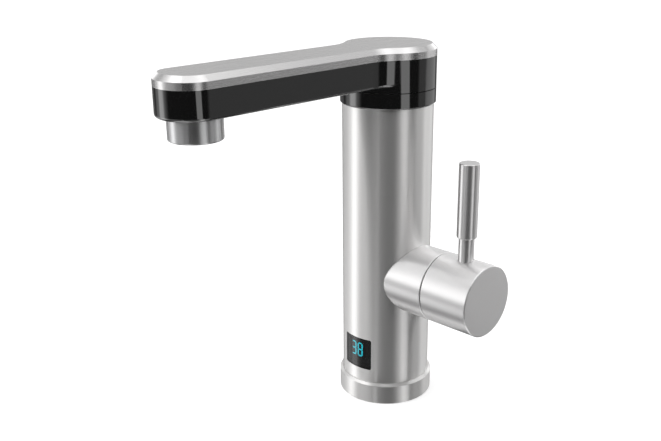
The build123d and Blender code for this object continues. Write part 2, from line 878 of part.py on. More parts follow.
# Valve body: brass barrel with a nipple below, one above and the flow chamber behind
with BuildPart() as valve_body:
    extrude(annulus(across_handle(-barrel_back), barrel_radius), amount=barrel_back + barrel_end)
    chamfer(valve_body.edges().filter_by(GeomType.CIRCLE), barrel_edge)
    extrude(annulus(across_handle(0), switch_radius), amount=chamber_mouth)
    nipple_foot = level(valve_bottom - nipple_length)
    extrude(annulus(nipple_foot, nipple_radius), amount=nipple_length + barrel_radius)
    nipple_head = level(valve_top + nipple_length)
    extrude(annulus(nipple_head, nipple_radius), amount=-nipple_length - barrel_radius)
    boss_height = barrel_radius + barrel_edge
    boss = annulus(level(handle_height), nipple_radius + nipple_collar)
    extrude(boss, amount=boss_height, both=True)
    # cartridge socket and the wider thread at its mouth
    bore = annulus(across_handle(cartridge_floor), cartridge_radius + slip)
    extrude(bore, amount=barrel_end, mode=Mode.SUBTRACT)
    thread_start = cartridge_end + nut_step - 2 * slip
    thread = annulus(across_handle(thread_start), cartridge_radius + cartridge_thread)
    extrude(thread, amount=barrel_end, mode=Mode.SUBTRACT)
    # flow chamber, with its small pressure hole
    chamber = annulus(across_handle(chamber_mouth), switch_chamber_radius)
    extrude(chamber, amount=chamber_depth, mode=Mode.SUBTRACT)
    with BuildSketch(across_handle(chamber_mouth)):
        with Locations((0, -port_offset)):
            Circle(pressure_hole)
    extrude(amount=-chamber_mouth, mode=Mode.SUBTRACT)
    # water ways: from each nipple to its port at the cartridge's floor
    way_length = nipple_length + barrel_radius - port_offset
    extrude(annulus(nipple_foot, nipple_bore_radius), amount=way_length, mode=Mode.SUBTRACT)
    extrude(annulus(nipple_head, nipple_bore_radius), amount=-way_length, mode=Mode.SUBTRACT)
    ports = pair_of_discs(across_handle(0), port_offset, port_radius)
    extrude(ports, amount=cartridge_start, mode=Mode.SUBTRACT)
valve_body.part.label = "valve_body"
export_step(valve_body.part, "parts/valve_body.step")

# Hoses from the inlet to the valve and from the valve to the heater
inlet_hose = straight_hose(
    socket_top + nipple_length - hose_grip, valve_bottom - nipple_length + hose_grip - barrel_edge
)
inlet_hose.part.label = "inlet_hose"
export_step(inlet_hose.part, "parts/inlet_hose.step")

link_hose = straight_hose(valve_top + 2 * barrel_edge, heater_bottom - 5 * slip)
link_hose.part.label = "link_hose"
export_step(link_hose.part, "parts/link_hose.step")

# Cartridge: rubber seat with two ports
with BuildPart() as cartridge_seal:
    rubber = annulus(across_handle(cartridge_floor + seat), cartridge_radius)
    extrude(rubber, amount=rubber_seat - 2 * seat)
    ports = pair_of_discs(across_handle(cartridge_floor), port_offset, port_radius)
    extrude(ports, amount=2 * rubber_seat, mode=Mode.SUBTRACT)
cartridge_seal.part.label = "cartridge_seal"
export_step(cartridge_seal.part, "parts/cartridge_seal.step")

# Fixed ceramic disc
with BuildPart() as fixed_disc:
    extrude(annulus(across_handle(fixed_disc_start), disc_radius + disc_step), amount=disc_thickness)
    ports = pair_of_discs(across_handle(fixed_disc_start), port_offset, port_radius)
    extrude(ports, amount=disc_thickness, mode=Mode.SUBTRACT)
fixed_disc.part.label = "fixed_disc"
export_step(fixed_disc.part, "parts/fixed_disc.step")

# Moving ceramic disc: its slot lies across the ports when shut and joins them at a quarter turn
with BuildPart() as moving_disc:
    extrude(annulus(across_handle(moving_disc_start), disc_radius), amount=disc_thickness)
    with BuildSketch(across_handle(moving_disc_start)):
        SlotCenterToCenter(2 * port_offset, 2 * port_radius)
    extrude(amount=disc_thickness / 2, mode=Mode.SUBTRACT)
    key_seats = pair_of_discs(
        across_handle(moving_disc_start + disc_thickness), key_offset, key_radius + slip
    )
    extrude(key_seats, amount=-key_depth - slip, mode=Mode.SUBTRACT)
moving_disc.part.label = "moving_disc"
export_step(moving_disc.part, "parts/moving_disc.step")

# Spindle: driver disc with two keys, round shaft and a flat for the grub screw
with BuildPart() as spindle:
    extrude(annulus(across_handle(driver_start), disc_radius), amount=driver_thickness)
    extrude(annulus(across_handle(driver_start), spindle_radius), amount=spindle_end - driver_start)
    keys = pair_of_discs(across_handle(driver_start), key_offset, key_radius)
    extrude(keys, amount=-key_depth)
    flat_start = lever_x - 3 * grub_radius
    flat = rectangle(
        level(handle_height - spindle_radius, (flat_start + spindle_end) / 2),
        spindle_end - flat_start,
        2 * spindle_radius,
    )
    extrude(flat, amount=spindle_flat, mode=Mode.SUBTRACT)
spindle.part.label = "spindle"
export_step(spindle.part, "parts/spindle.step")

# Cartridge body: cup over the discs with a long neck that guides the spindle
with BuildPart() as cartridge_body:
    extrude(annulus(across_handle(cartridge_start), cartridge_radius), amount=cartridge_length)
    neck = annulus(across_handle(cartridge_start), spindle_radius + neck_wall)
    extrude(neck, amount=neck_end - cartridge_start)
    cup = annulus(across_handle(cartridge_start), disc_radius + disc_step + 2 * slip)
    extrude(cup, amount=driver_end + 5 * slip - cartridge_start, mode=Mode.SUBTRACT)
    neck_bore = annulus(across_handle(cartridge_start), spindle_radius + running)
    extrude(neck_bore, amount=neck_end, mode=Mode.SUBTRACT)
    grease_start = driver_end + grease_margin
    grease_way = annulus(across_handle(grease_start), spindle_radius + grease_width)
    extrude(grease_way, amount=cartridge_end - grease_margin - grease_start, mode=Mode.SUBTRACT)
cartridge_body.part.label = "cartridge_body"
export_step(cartridge_body.part, "parts/cartridge_body.step")

# Cartridge nut: castellated ring in the barrel's mouth
with BuildPart() as cartridge_nut:
    nut_start = cartridge_end + seat
    nut_bore = spindle_radius + neck_wall + 10 * slip
    extrude(annulus(across_handle(nut_start), cartridge_radius, nut_bore), amount=nut_step)
    threaded_start = nut_start + nut_step - slip
    threaded = annulus(
        across_handle(threaded_start), cartridge_radius + cartridge_thread - slip, nut_bore
    )
    extrude(threaded, amount=nut_start + cartridge_nut_length - threaded_start)
    with BuildSketch(across_handle(nut_start + cartridge_nut_length)):
        with PolarLocations(cartridge_radius - nut_notch_inset, 4):
            Rectangle(nut_notch_length, nut_notch_width)
    extrude(amount=-nut_notch_depth, mode=Mode.SUBTRACT)
cartridge_nut.part.label = "cartridge_nut"
export_step(cartridge_nut.part, "parts/cartridge_nut.step")

# Flow switch's rubber diaphragm
with BuildPart() as diaphragm:
    skin = annulus(across_handle(diaphragm_front), switch_radius - slip)
    extrude(skin, amount=-diaphragm_thickness)
    extrude(annulus(across_handle(diaphragm_front), plunger_disc_radius), amount=diaphragm_boss)
diaphragm.part.label = "diaphragm"
export_step(diaphragm.part, "parts/diaphragm.step")

# Cap over the diaphragm, with two feet and two pins for the micro switch
with BuildPart() as switch_cap:
    extrude(annulus(across_handle(cap_front), switch_radius), amount=cap_back - cap_front)
    hollow = annulus(across_handle(cap_front), switch_chamber_radius)
    extrude(hollow, amount=-cap_depth, mode=Mode.SUBTRACT)
    stem_hole = annulus(across_handle(cap_front), plunger_stem_radius + running)
    extrude(stem_hole, amount=cap_back - cap_front, mode=Mode.SUBTRACT)
    pin_root = 5 * slip  # how deep pins and feet start in the cap's wall
    pins = pair_of_discs(across_handle(cap_back + pin_root), pin_offset, pin_radius)
    extrude(pins, amount=-pin_root - switch_gap - pin_length)
    foot_centre = pin_offset + foot_offset
    with BuildSketch(across_handle(cap_back + pin_root)):
        with Locations((0, foot_centre), (0, -foot_centre)):
            Rectangle(foot_width, foot_height)
    extrude(amount=slip - pin_root - switch_gap)
switch_cap.part.label = "switch_cap"
export_step(switch_cap.part, "parts/switch_cap.step")

# Plunger: disc on the diaphragm and a stem through the cap; the water's pressure moves it along -X
with BuildPart() as flow_plunger:
    extrude(annulus(across_handle(plunger_front), plunger_disc_radius), amount=-plunger_disc)
    stem = annulus(across_handle(plunger_front), plunger_stem_radius)
    extrude(stem, amount=plunger_end - plunger_front)
flow_plunger.part.label = "flow_plunger"
export_step(flow_plunger.part, "parts/flow_plunger.step")

# Return spring around the plunger's stem
with BuildPart() as plunger_spring:
    with BuildLine() as coil:
        Helix(
            pitch=(spring_front - spring_back) / spring_turns,
            height=spring_front - spring_back,
            radius=spring_radius,
            center=(spring_back, 0, handle_height),
            direction=(1, 0, 0),
        )
    with BuildSketch(Plane(origin=coil.line @ 0, z_dir=coil.line % 0)):
        Circle(spring_wire / 2)
    sweep()
plunger_spring.part.label = "plunger_spring"
export_step(plunger_spring.part, "parts/plunger_spring.step")

# Micro switch on the cap's two pins
with BuildPart() as micro_switch:
    case = rectangle(across_handle(switch_face), switch_width, switch_length, case_corner)
    extrude(case, amount=-switch_depth)
    pin_holes = pair_of_discs(across_handle(switch_face), pin_offset, pin_radius + slip)
    extrude(pin_holes, amount=-switch_depth, mode=Mode.SUBTRACT)
    extrude(annulus(across_handle(switch_face), button_radius), amount=button_height)
micro_switch.part.label = "micro_switch"
export_step(micro_switch.part, "parts/micro_switch.step")

# Side stub: sleeve over the valve's barrel, its inner end cut to the round of the column
with BuildPart() as stub_sleeve:
    extrude(annulus(across_handle(0), stub_radius), amount=stub_end)
    column_space = annulus(level(0), column_radius + slip)
    extrude(column_space, amount=2 * handle_height, mode=Mode.SUBTRACT)
    chamfer(stub_sleeve.edges().filter_by(GeomType.CIRCLE).sort_by(Axis.X)[-1], edge)
    barrel_space = annulus(across_handle(0), barrel_radius + 2 * slip)
    extrude(barrel_space, amount=stub_end, mode=Mode.SUBTRACT)
    ring_seat = annulus(across_handle(guide_start), guide_radius + slip)
    extrude(ring_seat, amount=stub_end, mode=Mode.SUBTRACT)
stub_sleeve.part.label = "stub_sleeve"
export_step(stub_sleeve.part, "parts/stub_sleeve.step")

# Guide ring: screwed on the barrel to clamp the stub, and the knob's bearing; seen as the dark seam
with BuildPart() as guide_ring:
    ring_length = knob_start + guide_depth - guide_start - seat
    section = annulus(across_handle(guide_start + seat), guide_radius, barrel_radius + slip)
    extrude(section, amount=ring_length)
guide_ring.part.label = "guide_ring"
export_step(guide_ring.part, "parts/guide_ring.step")

# Knob: turned shell with an end wall, a boss for the spindle and a pad for the lever
with BuildPart() as knob_shell:
    extrude(annulus(across_handle(knob_start), stub_radius), amount=knob_length)
    rims = knob_shell.edges().filter_by(GeomType.CIRCLE).sort_by(Axis.X)
    chamfer(rims[-1], knob_bevel)
    chamfer(rims[0], edge)
    hollow = annulus(across_handle(knob_start), stub_radius - knob_wall)
    extrude(hollow, amount=knob_hollow_end - knob_start, mode=Mode.SUBTRACT)
    bearing = annulus(across_handle(knob_start), guide_radius + running)
    extrude(bearing, amount=guide_depth + 5 * slip, mode=Mode.SUBTRACT)
    boss = annulus(across_handle(knob_boss_start), knob_boss_radius)
    extrude(boss, amount=knob_hollow_end - knob_boss_start + edge)
    pad = annulus(level(lever_foot - knob_wall / 2, lever_x), knob_pad_radius)
    extrude(pad, amount=-knob_wall / 2 - knob_pad_depth)
    shaft_hole = annulus(across_handle(knob_start), spindle_radius + slip)
    extrude(shaft_hole, amount=spindle_end + 5 * slip - knob_start, mode=Mode.SUBTRACT)
    lever_hole = annulus(level(knob_pad_bottom - edge, lever_x), lever_thread_radius + slip)
    extrude(lever_hole, amount=stub_radius, mode=Mode.SUBTRACT)
    screw_way = annulus(level(handle_height, lever_x), grub_radius + slip)
    extrude(screw_way, amount=-2 * stub_radius, mode=Mode.SUBTRACT)
    plug_way = annulus(level(handle_height - knob_boss_radius - edge, lever_x), grub_radius + plug_gap)
    extrude(plug_way, amount=-2 * stub_radius, mode=Mode.SUBTRACT)
knob_shell.part.label = "knob_shell"
export_step(knob_shell.part, "parts/knob_shell.step")

# Grub screw against the spindle's flat, reached from below
with BuildPart() as grub_screw:
    grub_tip = handle_height - spindle_radius + spindle_flat - seat
    extrude(annulus(level(grub_tip, lever_x), grub_radius), amount=-grub_length)
    chamfer(grub_screw.edges().filter_by(GeomType.CIRCLE), edge)
    key_hole = hexagon(level(grub_tip - grub_length, lever_x), grub_key)
    extrude(key_hole, amount=grub_key, mode=Mode.SUBTRACT)
grub_screw.part.label = "grub_screw"
export_step(grub_screw.part, "parts/grub_screw.step")

# Plug that closes the screw's way, flush with the knob
with BuildPart() as screw_plug:
    plug = annulus(level(handle_height - stub_radius, lever_x), grub_radius + plug_gap - slip)
    extrude(plug, amount=plug_depth)
    knob_round = annulus(across_handle(knob_start), stub_radius - slip)
    extrude(knob_round, amount=knob_length, mode=Mode.INTERSECT)
screw_plug.part.label = "screw_plug"
export_step(screw_plug.part, "parts/screw_plug.step")

# Lever stem: threaded foot in the pad, a shoulder cut to the round of the knob, a pin into the grip
with BuildPart() as lever_stem:
    stem_top = grip_bottom - seat
    extrude(annulus(level(stem_top, lever_x), lever_stem_radius), amount=-lever_stem_height - knob_wall)
    knob_space = annulus(across_handle(knob_start), stub_radius + running)
    extrude(knob_space, amount=knob_length, mode=Mode.SUBTRACT)
    foot_length = stem_top - lever_thread_bottom
    extrude(annulus(level(stem_top, lever_x), lever_thread_radius), amount=-foot_length)
    extrude(annulus(level(stem_top, lever_x), lever_pin_radius), amount=lever_pin_length + seat)
lever_stem.part.label = "lever_stem"
export_step(lever_stem.part, "parts/lever_stem.step")

# Lever grip: turned bar with a blind bore
with BuildPart() as lever_grip:
    extrude(annulus(level(grip_bottom, lever_x), lever_grip_radius), amount=lever_grip_length)
    rims = lever_grip.edges().filter_by(GeomType.CIRCLE).sort_by(Axis.Z)
    fillet(rims[0], lever_foot_edge)
    chamfer(rims[-1], lever_grip_edge)
    bore = annulus(level(grip_bottom, lever_x), lever_pin_radius + slip)
    extrude(bore, amount=lever_pin_length + lever_pin_gap, mode=Mode.SUBTRACT)
lever_grip.part.label = "lever_grip"
export_step(lever_grip.part, "parts/lever_grip.step")

# Heater chamber: moulded cup with a flange, a groove for its seal and a nipple below
with BuildPart() as heater_chamber:
    extrude(annulus(level(heater_bottom), heater_radius), amount=heater_height)
    fillet(heater_chamber.edges().filter_by(GeomType.CIRCLE).sort_by(Axis.Z)[0], heater_edge)
    flange = annulus(level(heater_top), heater_flange_radius)
    extrude(flange, amount=-heater_flange_height)
    nipple_end = level(valve_top + nipple_length + barrel_edge)
    extrude(annulus(nipple_end, nipple_radius), amount=heater_gap - nipple_length)
    cavity = annulus(level(heater_bottom + heater_wall), heater_inner)
    extrude(cavity, amount=heater_height, mode=Mode.SUBTRACT)
    extrude(annulus(nipple_end, nipple_bore_radius), amount=heater_gap, mode=Mode.SUBTRACT)
    groove_width = seal_radius + slip
    groove = annulus(level(heater_top), seal_circle + groove_width, seal_circle - groove_width)
    extrude(groove, amount=-2 * seal_radius, mode=Mode.SUBTRACT)
    holes = ring_of_discs(level(heater_top), heater_hole_circle, 4, 45, screw_hole)
    extrude(holes, amount=-heater_flange_height, mode=Mode.SUBTRACT)
heater_chamber.part.label = "heater_chamber"
export_step(heater_chamber.part, "parts/heater_chamber.step")

with BuildPart() as heater_seal:
    with Locations((0, 0, heater_top - seal_radius)):
        Torus(seal_circle, seal_radius)
heater_seal.part.label = "heater_seal"
export_step(heater_seal.part, "parts/heater_seal.step")

# Heater cap: lid with the outlet nipple and holes for the elements, the probe and the screws
with BuildPart() as heater_cap:
    extrude(annulus(level(cap_bottom), heater_flange_radius), amount=heater_cap_height)
    extrude(annulus(level(cap_top), nipple_radius), amount=nipple_length)
    water_way = annulus(level(cap_bottom), nipple_bore_radius)
    extrude(water_way, amount=heater_cap_height + nipple_length, mode=Mode.SUBTRACT)
    with BuildSketch(level(cap_bottom)):
        for row, half_span in element_rows:
            with Locations((half_span * heater_inner, row * heater_inner)):
                Circle(element_radius + slip)
            with Locations((-half_span * heater_inner, row * heater_inner)):
                Circle(element_radius + slip)
        with PolarLocations(heater_hole_circle, 4, start_angle=45):
            Circle(screw_hole)
        with Locations((0, probe_y)):
            Circle(probe_radius + slip)
    extrude(amount=heater_cap_height, mode=Mode.SUBTRACT)
heater_cap.part.label = "heater_cap"
export_step(heater_cap.part, "parts/heater_cap.step")

# Four long screws from below the flange, through the cap into the swivel ring's pillars
with BuildPart() as cap_screws:
    heads = ring_of_discs(
        level(heater_top - heater_flange_height - seat), heater_hole_circle, 4, 45, screw_head
    )
    extrude(heads, amount=-screw_head_height)
    shanks = ring_of_discs(
        level(heater_top - heater_flange_height - seat), heater_hole_circle, 4, 45, screw_shank
    )
    extrude(shanks, amount=heater_flange_height + heater_cap_height + cover_screw_length)
cap_screws.part.label = "cap_screws"
export_step(cap_screws.part, "parts/cap_screws.step")

# Heating element: three sheathed hairpins that hang from the cap
with BuildPart() as heating_element:
    element_top = cap_top + element_leads
    element_bottom = heater_bottom + heater_wall + element_lift
    for row, half_span in element_rows:
        y = row * heater_inner
        x = half_span * heater_inner
        with BuildLine() as hairpin:
            FilletPolyline(
                (x, y, element_top),
                (x, y, element_bottom),
                (-x, y, element_bottom),
                (-x, y, element_top),
                radius=element_bend,
            )
        with BuildSketch(Plane(origin=hairpin.line @ 0, z_dir=hairpin.line % 0)) as sheath:
            Circle(element_radius)
        sweep(sheath.sketch, path=hairpin.line)
heating_element.part.label = "heating_element"
export_step(heating_element.part, "parts/heating_element.step")

# Bimetal cut-out on the cap, with its two tabs
with BuildPart() as thermal_cutout:
    extrude(annulus(level(cap_top + seat, y=cutout_y), cutout_radius), amount=cutout_height)
    with BuildSketch(level(cap_top + cutout_height, y=cutout_y)):
        with GridLocations(tab_pitch, 1, 2, 1):
            Rectangle(tab_thickness, tab_width)
    extrude(amount=tab_height)
thermal_cutout.part.label = "thermal_cutout"
export_step(thermal_cutout.part, "parts/thermal_cutout.step")

# Temperature probe, screwed through the cap
with BuildPart() as temperature_probe:
    extrude(hexagon(level(cap_top + seat, y=probe_y), probe_flats), amount=probe_head)
    stem = annulus(level(cap_top - probe_length, y=probe_y), probe_radius)
    extrude(stem, amount=probe_length + probe_head / 2)
    tip = temperature_probe.edges().filter_by(GeomType.CIRCLE).sort_by(Axis.Z)[0]
    fillet(tip, probe_radius * 0.8)
temperature_probe.part.label = "temperature_probe"
export_step(temperature_probe.part, "parts/temperature_probe.step")

outlet_hose = straight_hose(cap_top + nipple_length - hose_grip, ring_plug_bottom - 5 * slip)
outlet_hose.part.label = "outlet_hose"
export_step(outlet_hose.part, "parts/outlet_hose.step")

# Swivel ring: black moulding, visible ring above, ribbed plug in the column, pillars for the heater
with BuildPart() as swivel_ring:
    extrude(annulus(level(column_top), ring_radius), amount=ring_height)
    chamfer(swivel_ring.edges().filter_by(GeomType.CIRCLE).sort_by(Axis.Z)[0], ring_bevel)
    extrude(annulus(level(column_top), plug_radius), amount=-ring_plug_depth)
    hollow_top = ring_top - ring_plate
    hollow = annulus(level(ring_plug_bottom), plug_radius - ring_wall)
    extrude(hollow, amount=hollow_top - ring_plug_bottom, mode=Mode.SUBTRACT)
    boss = annulus(level(hollow_top), spigot_flange_radius)
    extrude(boss, amount=spigot_boss_bottom - hollow_top)
    rib_span = plug_radius - ring_wall - spigot_flange_radius + 2 * edge
    with BuildSketch(level(hollow_top)):
        with PolarLocations((spigot_flange_radius + plug_radius - ring_wall) / 2, ring_ribs):
            Rectangle(rib_span, rib_thickness)
    extrude(amount=-ring_rib_height)
    pillars = ring_of_discs(level(hollow_top), heater_hole_circle, 4, 45, pillar_radius)
    extrude(pillars, amount=cap_top + seat - hollow_top)
    pilot_holes = ring_of_discs(level(cap_top), heater_hole_circle, 4, 45, screw_hole)
    extrude(pilot_holes, amount=cover_screw_length + screw_hole, mode=Mode.SUBTRACT)
    recess = annulus(level(ring_top), washer_outer + slip, washer_bore)
    extrude(recess, amount=-washer_recess, mode=Mode.SUBTRACT)
    spigot_hole = annulus(level(spigot_boss_bottom), spigot_radius + slip)
    extrude(spigot_hole, amount=ring_top - spigot_boss_bottom, mode=Mode.SUBTRACT)
swivel_ring.part.label = "swivel_ring"
export_step(swivel_ring.part, "parts/swivel_ring.step")

# Glide washer between ring and hub
with BuildPart() as glide_washer:
    washer_top = level(hub_bottom - face_gap)
    extrude(annulus(washer_top, washer_outer, washer_bore + slip), amount=-washer_thickness)
glide_washer.part.label = "glide_washer"
export_step(glide_washer.part, "parts/glide_washer.step")

# Swivel spigot: flange under the ring, shaft with two seal grooves and four ports, threaded stub
with BuildPart() as swivel_spigot:
    extrude(annulus(level(spigot_bottom), nipple_radius), amount=nipple_length)
    flange = annulus(level(ring_plug_bottom), spigot_flange_radius)
    extrude(flange, amount=spigot_flange_height - seat)
    extrude(annulus(level(ring_plug_bottom), spigot_radius), amount=spigot_top - ring_plug_bottom)
    extrude(annulus(level(spigot_top), nipple_radius), amount=spigot_stub_top - spigot_top)
    for height in groove_heights:
        groove = annulus(
            level(height - groove_half), spigot_radius + slip, spigot_radius - 2 * oring_radius
        )
        extrude(groove, amount=2 * groove_half, mode=Mode.SUBTRACT)
    port_ring = annulus(
        level(tube_height - port_ring_half), spigot_radius + slip, spigot_radius - port_ring_depth
    )
    extrude(port_ring, amount=2 * port_ring_half, mode=Mode.SUBTRACT)
    bore_length = tube_height + port_ring_half - spigot_bottom
    extrude(annulus(level(spigot_bottom), nipple_bore_radius), amount=bore_length, mode=Mode.SUBTRACT)
    for across in (Plane.XZ, Plane.YZ):
        with BuildSketch(across):
            with Locations((0, tube_height)):
                Circle(cross_port_radius)
        extrude(amount=spigot_radius, both=True, mode=Mode.SUBTRACT)
swivel_spigot.part.label = "swivel_spigot"
export_step(swivel_spigot.part, "parts/swivel_spigot.step")

with BuildPart() as spigot_orings:
    for height in groove_heights:
        with Locations((0, 0, height)):
            Torus(spigot_radius - oring_radius, oring_radius)
spigot_orings.part.label = "spigot_orings"
export_step(spigot_orings.part, "parts/spigot_orings.step")

# Flanged nut that keeps the spout on its spigot
with BuildPart() as swivel_nut:
    nut_foot = level(spigot_top + seat)
    extrude(annulus(nut_foot, spigot_radius + nut_flange_width), amount=nut_flange_height)
    extrude(hexagon(nut_foot, nut_flats), amount=nut_height)
    extrude(annulus(nut_foot, nipple_radius + running), amount=nut_height, mode=Mode.SUBTRACT)
swivel_nut.part.label = "swivel_nut"
export_step(swivel_nut.part, "parts/swivel_nut.step")

# Spout shell: black moulded trough of hub and arm, with cradle ribs, screw bosses and a cover rim
with BuildPart() as spout_shell:
    extrude(spout_plan(arm_bottom, 0), amount=shell_height)
    fillet(spout_shell.faces().sort_by(Axis.Z)[0].edges(), arm_edge)
    extrude(annulus(level(hub_bottom), hub_radius), amount=shell_top - hub_bottom)
    extrude(spout_plan(shell_top, cover_wall + slip), amount=shell_lip_height)
    inside_height = cover_top - hub_floor
    extrude(spout_plan(arm_floor, shell_wall), amount=inside_height, mode=Mode.SUBTRACT)
    hub_inside = annulus(level(hub_floor), hub_radius - shell_wall)
    extrude(hub_inside, amount=inside_height, mode=Mode.SUBTRACT)
    bosses = ring_of_discs(level(hub_floor), cover_hole_circle, 3, 90, shell_boss_radius)
    extrude(bosses, amount=shell_boss_height)
    rib_first = hub_radius + rib_start
    rib_step = (outlet_reach - rib_end - rib_first) / (rib_count - 1)
    for index in range(rib_count):
        rib = rectangle(
            level(arm_floor, y=-rib_first - index * rib_step), arm_width - shell_wall, rib_thickness
        )
        extrude(rib, amount=rib_height)
    cradle_start = -rib_first + rib_thickness
    cradle_length = outlet_reach - rib_first
    cradle = annulus(across_spout(cradle_start, tube_height), tube_radius + slip)
    extrude(cradle, amount=cradle_length, mode=Mode.SUBTRACT)
    slot = rectangle(
        across_spout(cradle_start, tube_height + rib_height), 2 * (tube_radius + slip), 2 * rib_height
    )
    extrude(slot, amount=cradle_length, mode=Mode.SUBTRACT)
    socket_hole = annulus(level(hub_bottom), socket_radius + slip)
    extrude(socket_hole, amount=2 * shell_floor, mode=Mode.SUBTRACT)
    neck_hole = annulus(level(arm_bottom, y=-outlet_reach), insert_radius + 2 * slip)
    extrude(neck_hole, amount=2 * shell_floor, mode=Mode.SUBTRACT)
    holes = ring_of_discs(level(hub_bottom), cover_hole_circle, 3, 90, screw_hole)
    extrude(holes, amount=shell_floor + shell_boss_height, mode=Mode.SUBTRACT)
    head_seats = ring_of_discs(level(hub_bottom), cover_hole_circle, 3, 90, cover_screw_head + slip)
    extrude(head_seats, amount=cover_screw_depth, mode=Mode.SUBTRACT)
spout_shell.part.label = "spout_shell"
export_step(spout_shell.part, "parts/spout_shell.step")

# Spout cover: brushed metal lid, hollow, with an upright band and a bevel all round
with BuildPart() as spout_cover:
    extrude(spout_plan(shell_top, 0), amount=cover_band + cover_bevel)
    chamfer(spout_cover.faces().sort_by(Axis.Z)[-1].edges(), cover_bevel)
    offset(amount=-cover_wall, openings=spout_cover.faces().sort_by(Axis.Z)[0])
    boss_foot = hub_floor + shell_boss_height + seat
    boss_height = cover_top - cover_wall / 2 - boss_foot
    bosses = ring_of_discs(
        level(boss_foot), cover_hole_circle, 3, 90, shell_boss_radius - cover_boss_step
    )
    extrude(bosses, amount=boss_height)
    pilot_holes = ring_of_discs(level(boss_foot), cover_hole_circle, 3, 90, screw_hole)
    extrude(pilot_holes, amount=boss_height - cover_wall / 2, mode=Mode.SUBTRACT)
spout_cover.part.label = "spout_cover"
export_step(spout_cover.part, "parts/spout_cover.step")

# Three screws from under the hub, hidden by the swivel ring
with BuildPart() as cover_screws:
    head_top = level(hub_bottom + cover_screw_depth - seat)
    heads = ring_of_discs(head_top, cover_hole_circle, 3, 90, cover_screw_head)
    extrude(heads, amount=-screw_head_height)
    shanks = ring_of_discs(head_top, cover_hole_circle, 3, 90, screw_shank)
    extrude(shanks, amount=cover_screw_length)
cover_screws.part.label = "cover_screws"
export_step(cover_screws.part, "parts/cover_screws.step")

# Hub socket: brass bush that turns on the spigot, with a ring channel and the tube's nipple
with BuildPart() as hub_socket:
    socket_bottom = hub_floor - socket_drop
    extrude(annulus(level(socket_bottom), socket_radius), amount=hub_socket_top - socket_bottom)
    flange = annulus(level(hub_floor + seat), socket_radius + socket_flange_width)
    extrude(flange, amount=socket_flange_height)
    collar = annulus(across_spout(0, tube_height), tube_radius + tube_collar)
    extrude(collar, amount=socket_nipple_start)
    nipple = annulus(across_spout(0, tube_height), tube_bore - slip)
    extrude(nipple, amount=socket_nipple_start + tube_nipple)
    spigot_bore = annulus(level(socket_bottom), spigot_radius + running)
    extrude(spigot_bore, amount=hub_socket_top - socket_bottom, mode=Mode.SUBTRACT)
    channel = annulus(level(tube_height - channel_half), spigot_radius + channel_depth)
    extrude(channel, amount=2 * channel_half, mode=Mode.SUBTRACT)
    water_way = annulus(across_spout(-spigot_radius, tube_height), water_way_radius)
    way_length = socket_nipple_start + tube_nipple + edge - spigot_radius
    extrude(water_way, amount=way_length, mode=Mode.SUBTRACT)
hub_socket.part.label = "hub_socket"
export_step(hub_socket.part, "parts/hub_socket.step")

# Water tube along the arm, pushed on both nipples
with BuildPart() as water_tube:
    bore = annulus(across_spout(-tube_start, tube_height), tube_radius, tube_bore)
    extrude(bore, amount=tube_end - tube_start)
water_tube.part.label = "water_tube"
export_step(water_tube.part, "parts/water_tube.step")

# Outlet elbow: turns the water down, its neck carries the aerator's thread
with BuildPart() as outlet_elbow:
    neck_foot = level(elbow_bottom, y=-outlet_reach)
    extrude(annulus(neck_foot, insert_radius), amount=elbow_top - elbow_bottom)
    drum = annulus(level(arm_floor + seat, y=-outlet_reach), elbow_radius)
    extrude(drum, amount=elbow_top - arm_floor - seat)
    chamfer(outlet_elbow.faces().sort_by(Axis.Z)[-1].edges(), elbow_bevel)
    collar = annulus(across_spout(-elbow_collar_start, tube_height), tube_radius + tube_collar)
    extrude(collar, amount=elbow_radius)
    nipple = annulus(across_spout(-elbow_nipple_start, tube_height), tube_bore - slip)
    extrude(nipple, amount=elbow_radius)
    way_up = elbow_top - elbow_roof - elbow_bottom
    extrude(annulus(neck_foot, neck_bore_radius), amount=way_up, mode=Mode.SUBTRACT)
    water_way = annulus(across_spout(-elbow_nipple_start, tube_height), elbow_way_radius)
    extrude(water_way, amount=outlet_reach - elbow_nipple_start, mode=Mode.SUBTRACT)
outlet_elbow.part.label = "outlet_elbow"
export_step(outlet_elbow.part, "parts/outlet_elbow.step")

# Aerator housing: turned collar under the arm
with BuildPart() as aerator_housing:
    mouth = level(outlet_bottom, y=-outlet_reach)
    extrude(annulus(mouth, outlet_radius), amount=outlet_drop - seat)
    fillet(aerator_housing.edges().filter_by(GeomType.CIRCLE).sort_by(Axis.Z)[0], outlet_edge)
    opening = annulus(mouth, insert_radius - outlet_lip_width)
    extrude(opening, amount=outlet_drop, mode=Mode.SUBTRACT)
    thread = annulus(level(outlet_bottom + outlet_lip_height, y=-outlet_reach), insert_radius + slip)
    extrude(thread, amount=outlet_drop, mode=Mode.SUBTRACT)
aerator_housing.part.label = "aerator_housing"
export_step(aerator_housing.part, "parts/aerator_housing.step")

# Aerator insert: moulded disc with hexagonal cells
with BuildPart() as aerator_insert:
    insert_foot = level(insert_bottom, y=-outlet_reach)
    extrude(annulus(insert_foot, insert_radius - slip), amount=insert_height)
    with BuildSketch(insert_foot):
        with HexLocations(cell_half, cell_count, cell_count, major_radius=False):
            RegularPolygon(cell_half - cell_wall / 2, 6, major_radius=False)
        Circle(insert_radius - insert_rim, mode=Mode.INTERSECT)
    extrude(amount=insert_height, mode=Mode.SUBTRACT)
aerator_insert.part.label = "aerator_insert"
export_step(aerator_insert.part, "parts/aerator_insert.step")

with BuildPart() as aerator_seal:
    washer = annulus(level(insert_top + seat, y=-outlet_reach), insert_radius - slip, neck_bore_radius)
    extrude(washer, amount=outlet_seal_height - 2 * seat)
aerator_seal.part.label = "aerator_seal"
export_step(aerator_seal.part, "parts/aerator_seal.step")
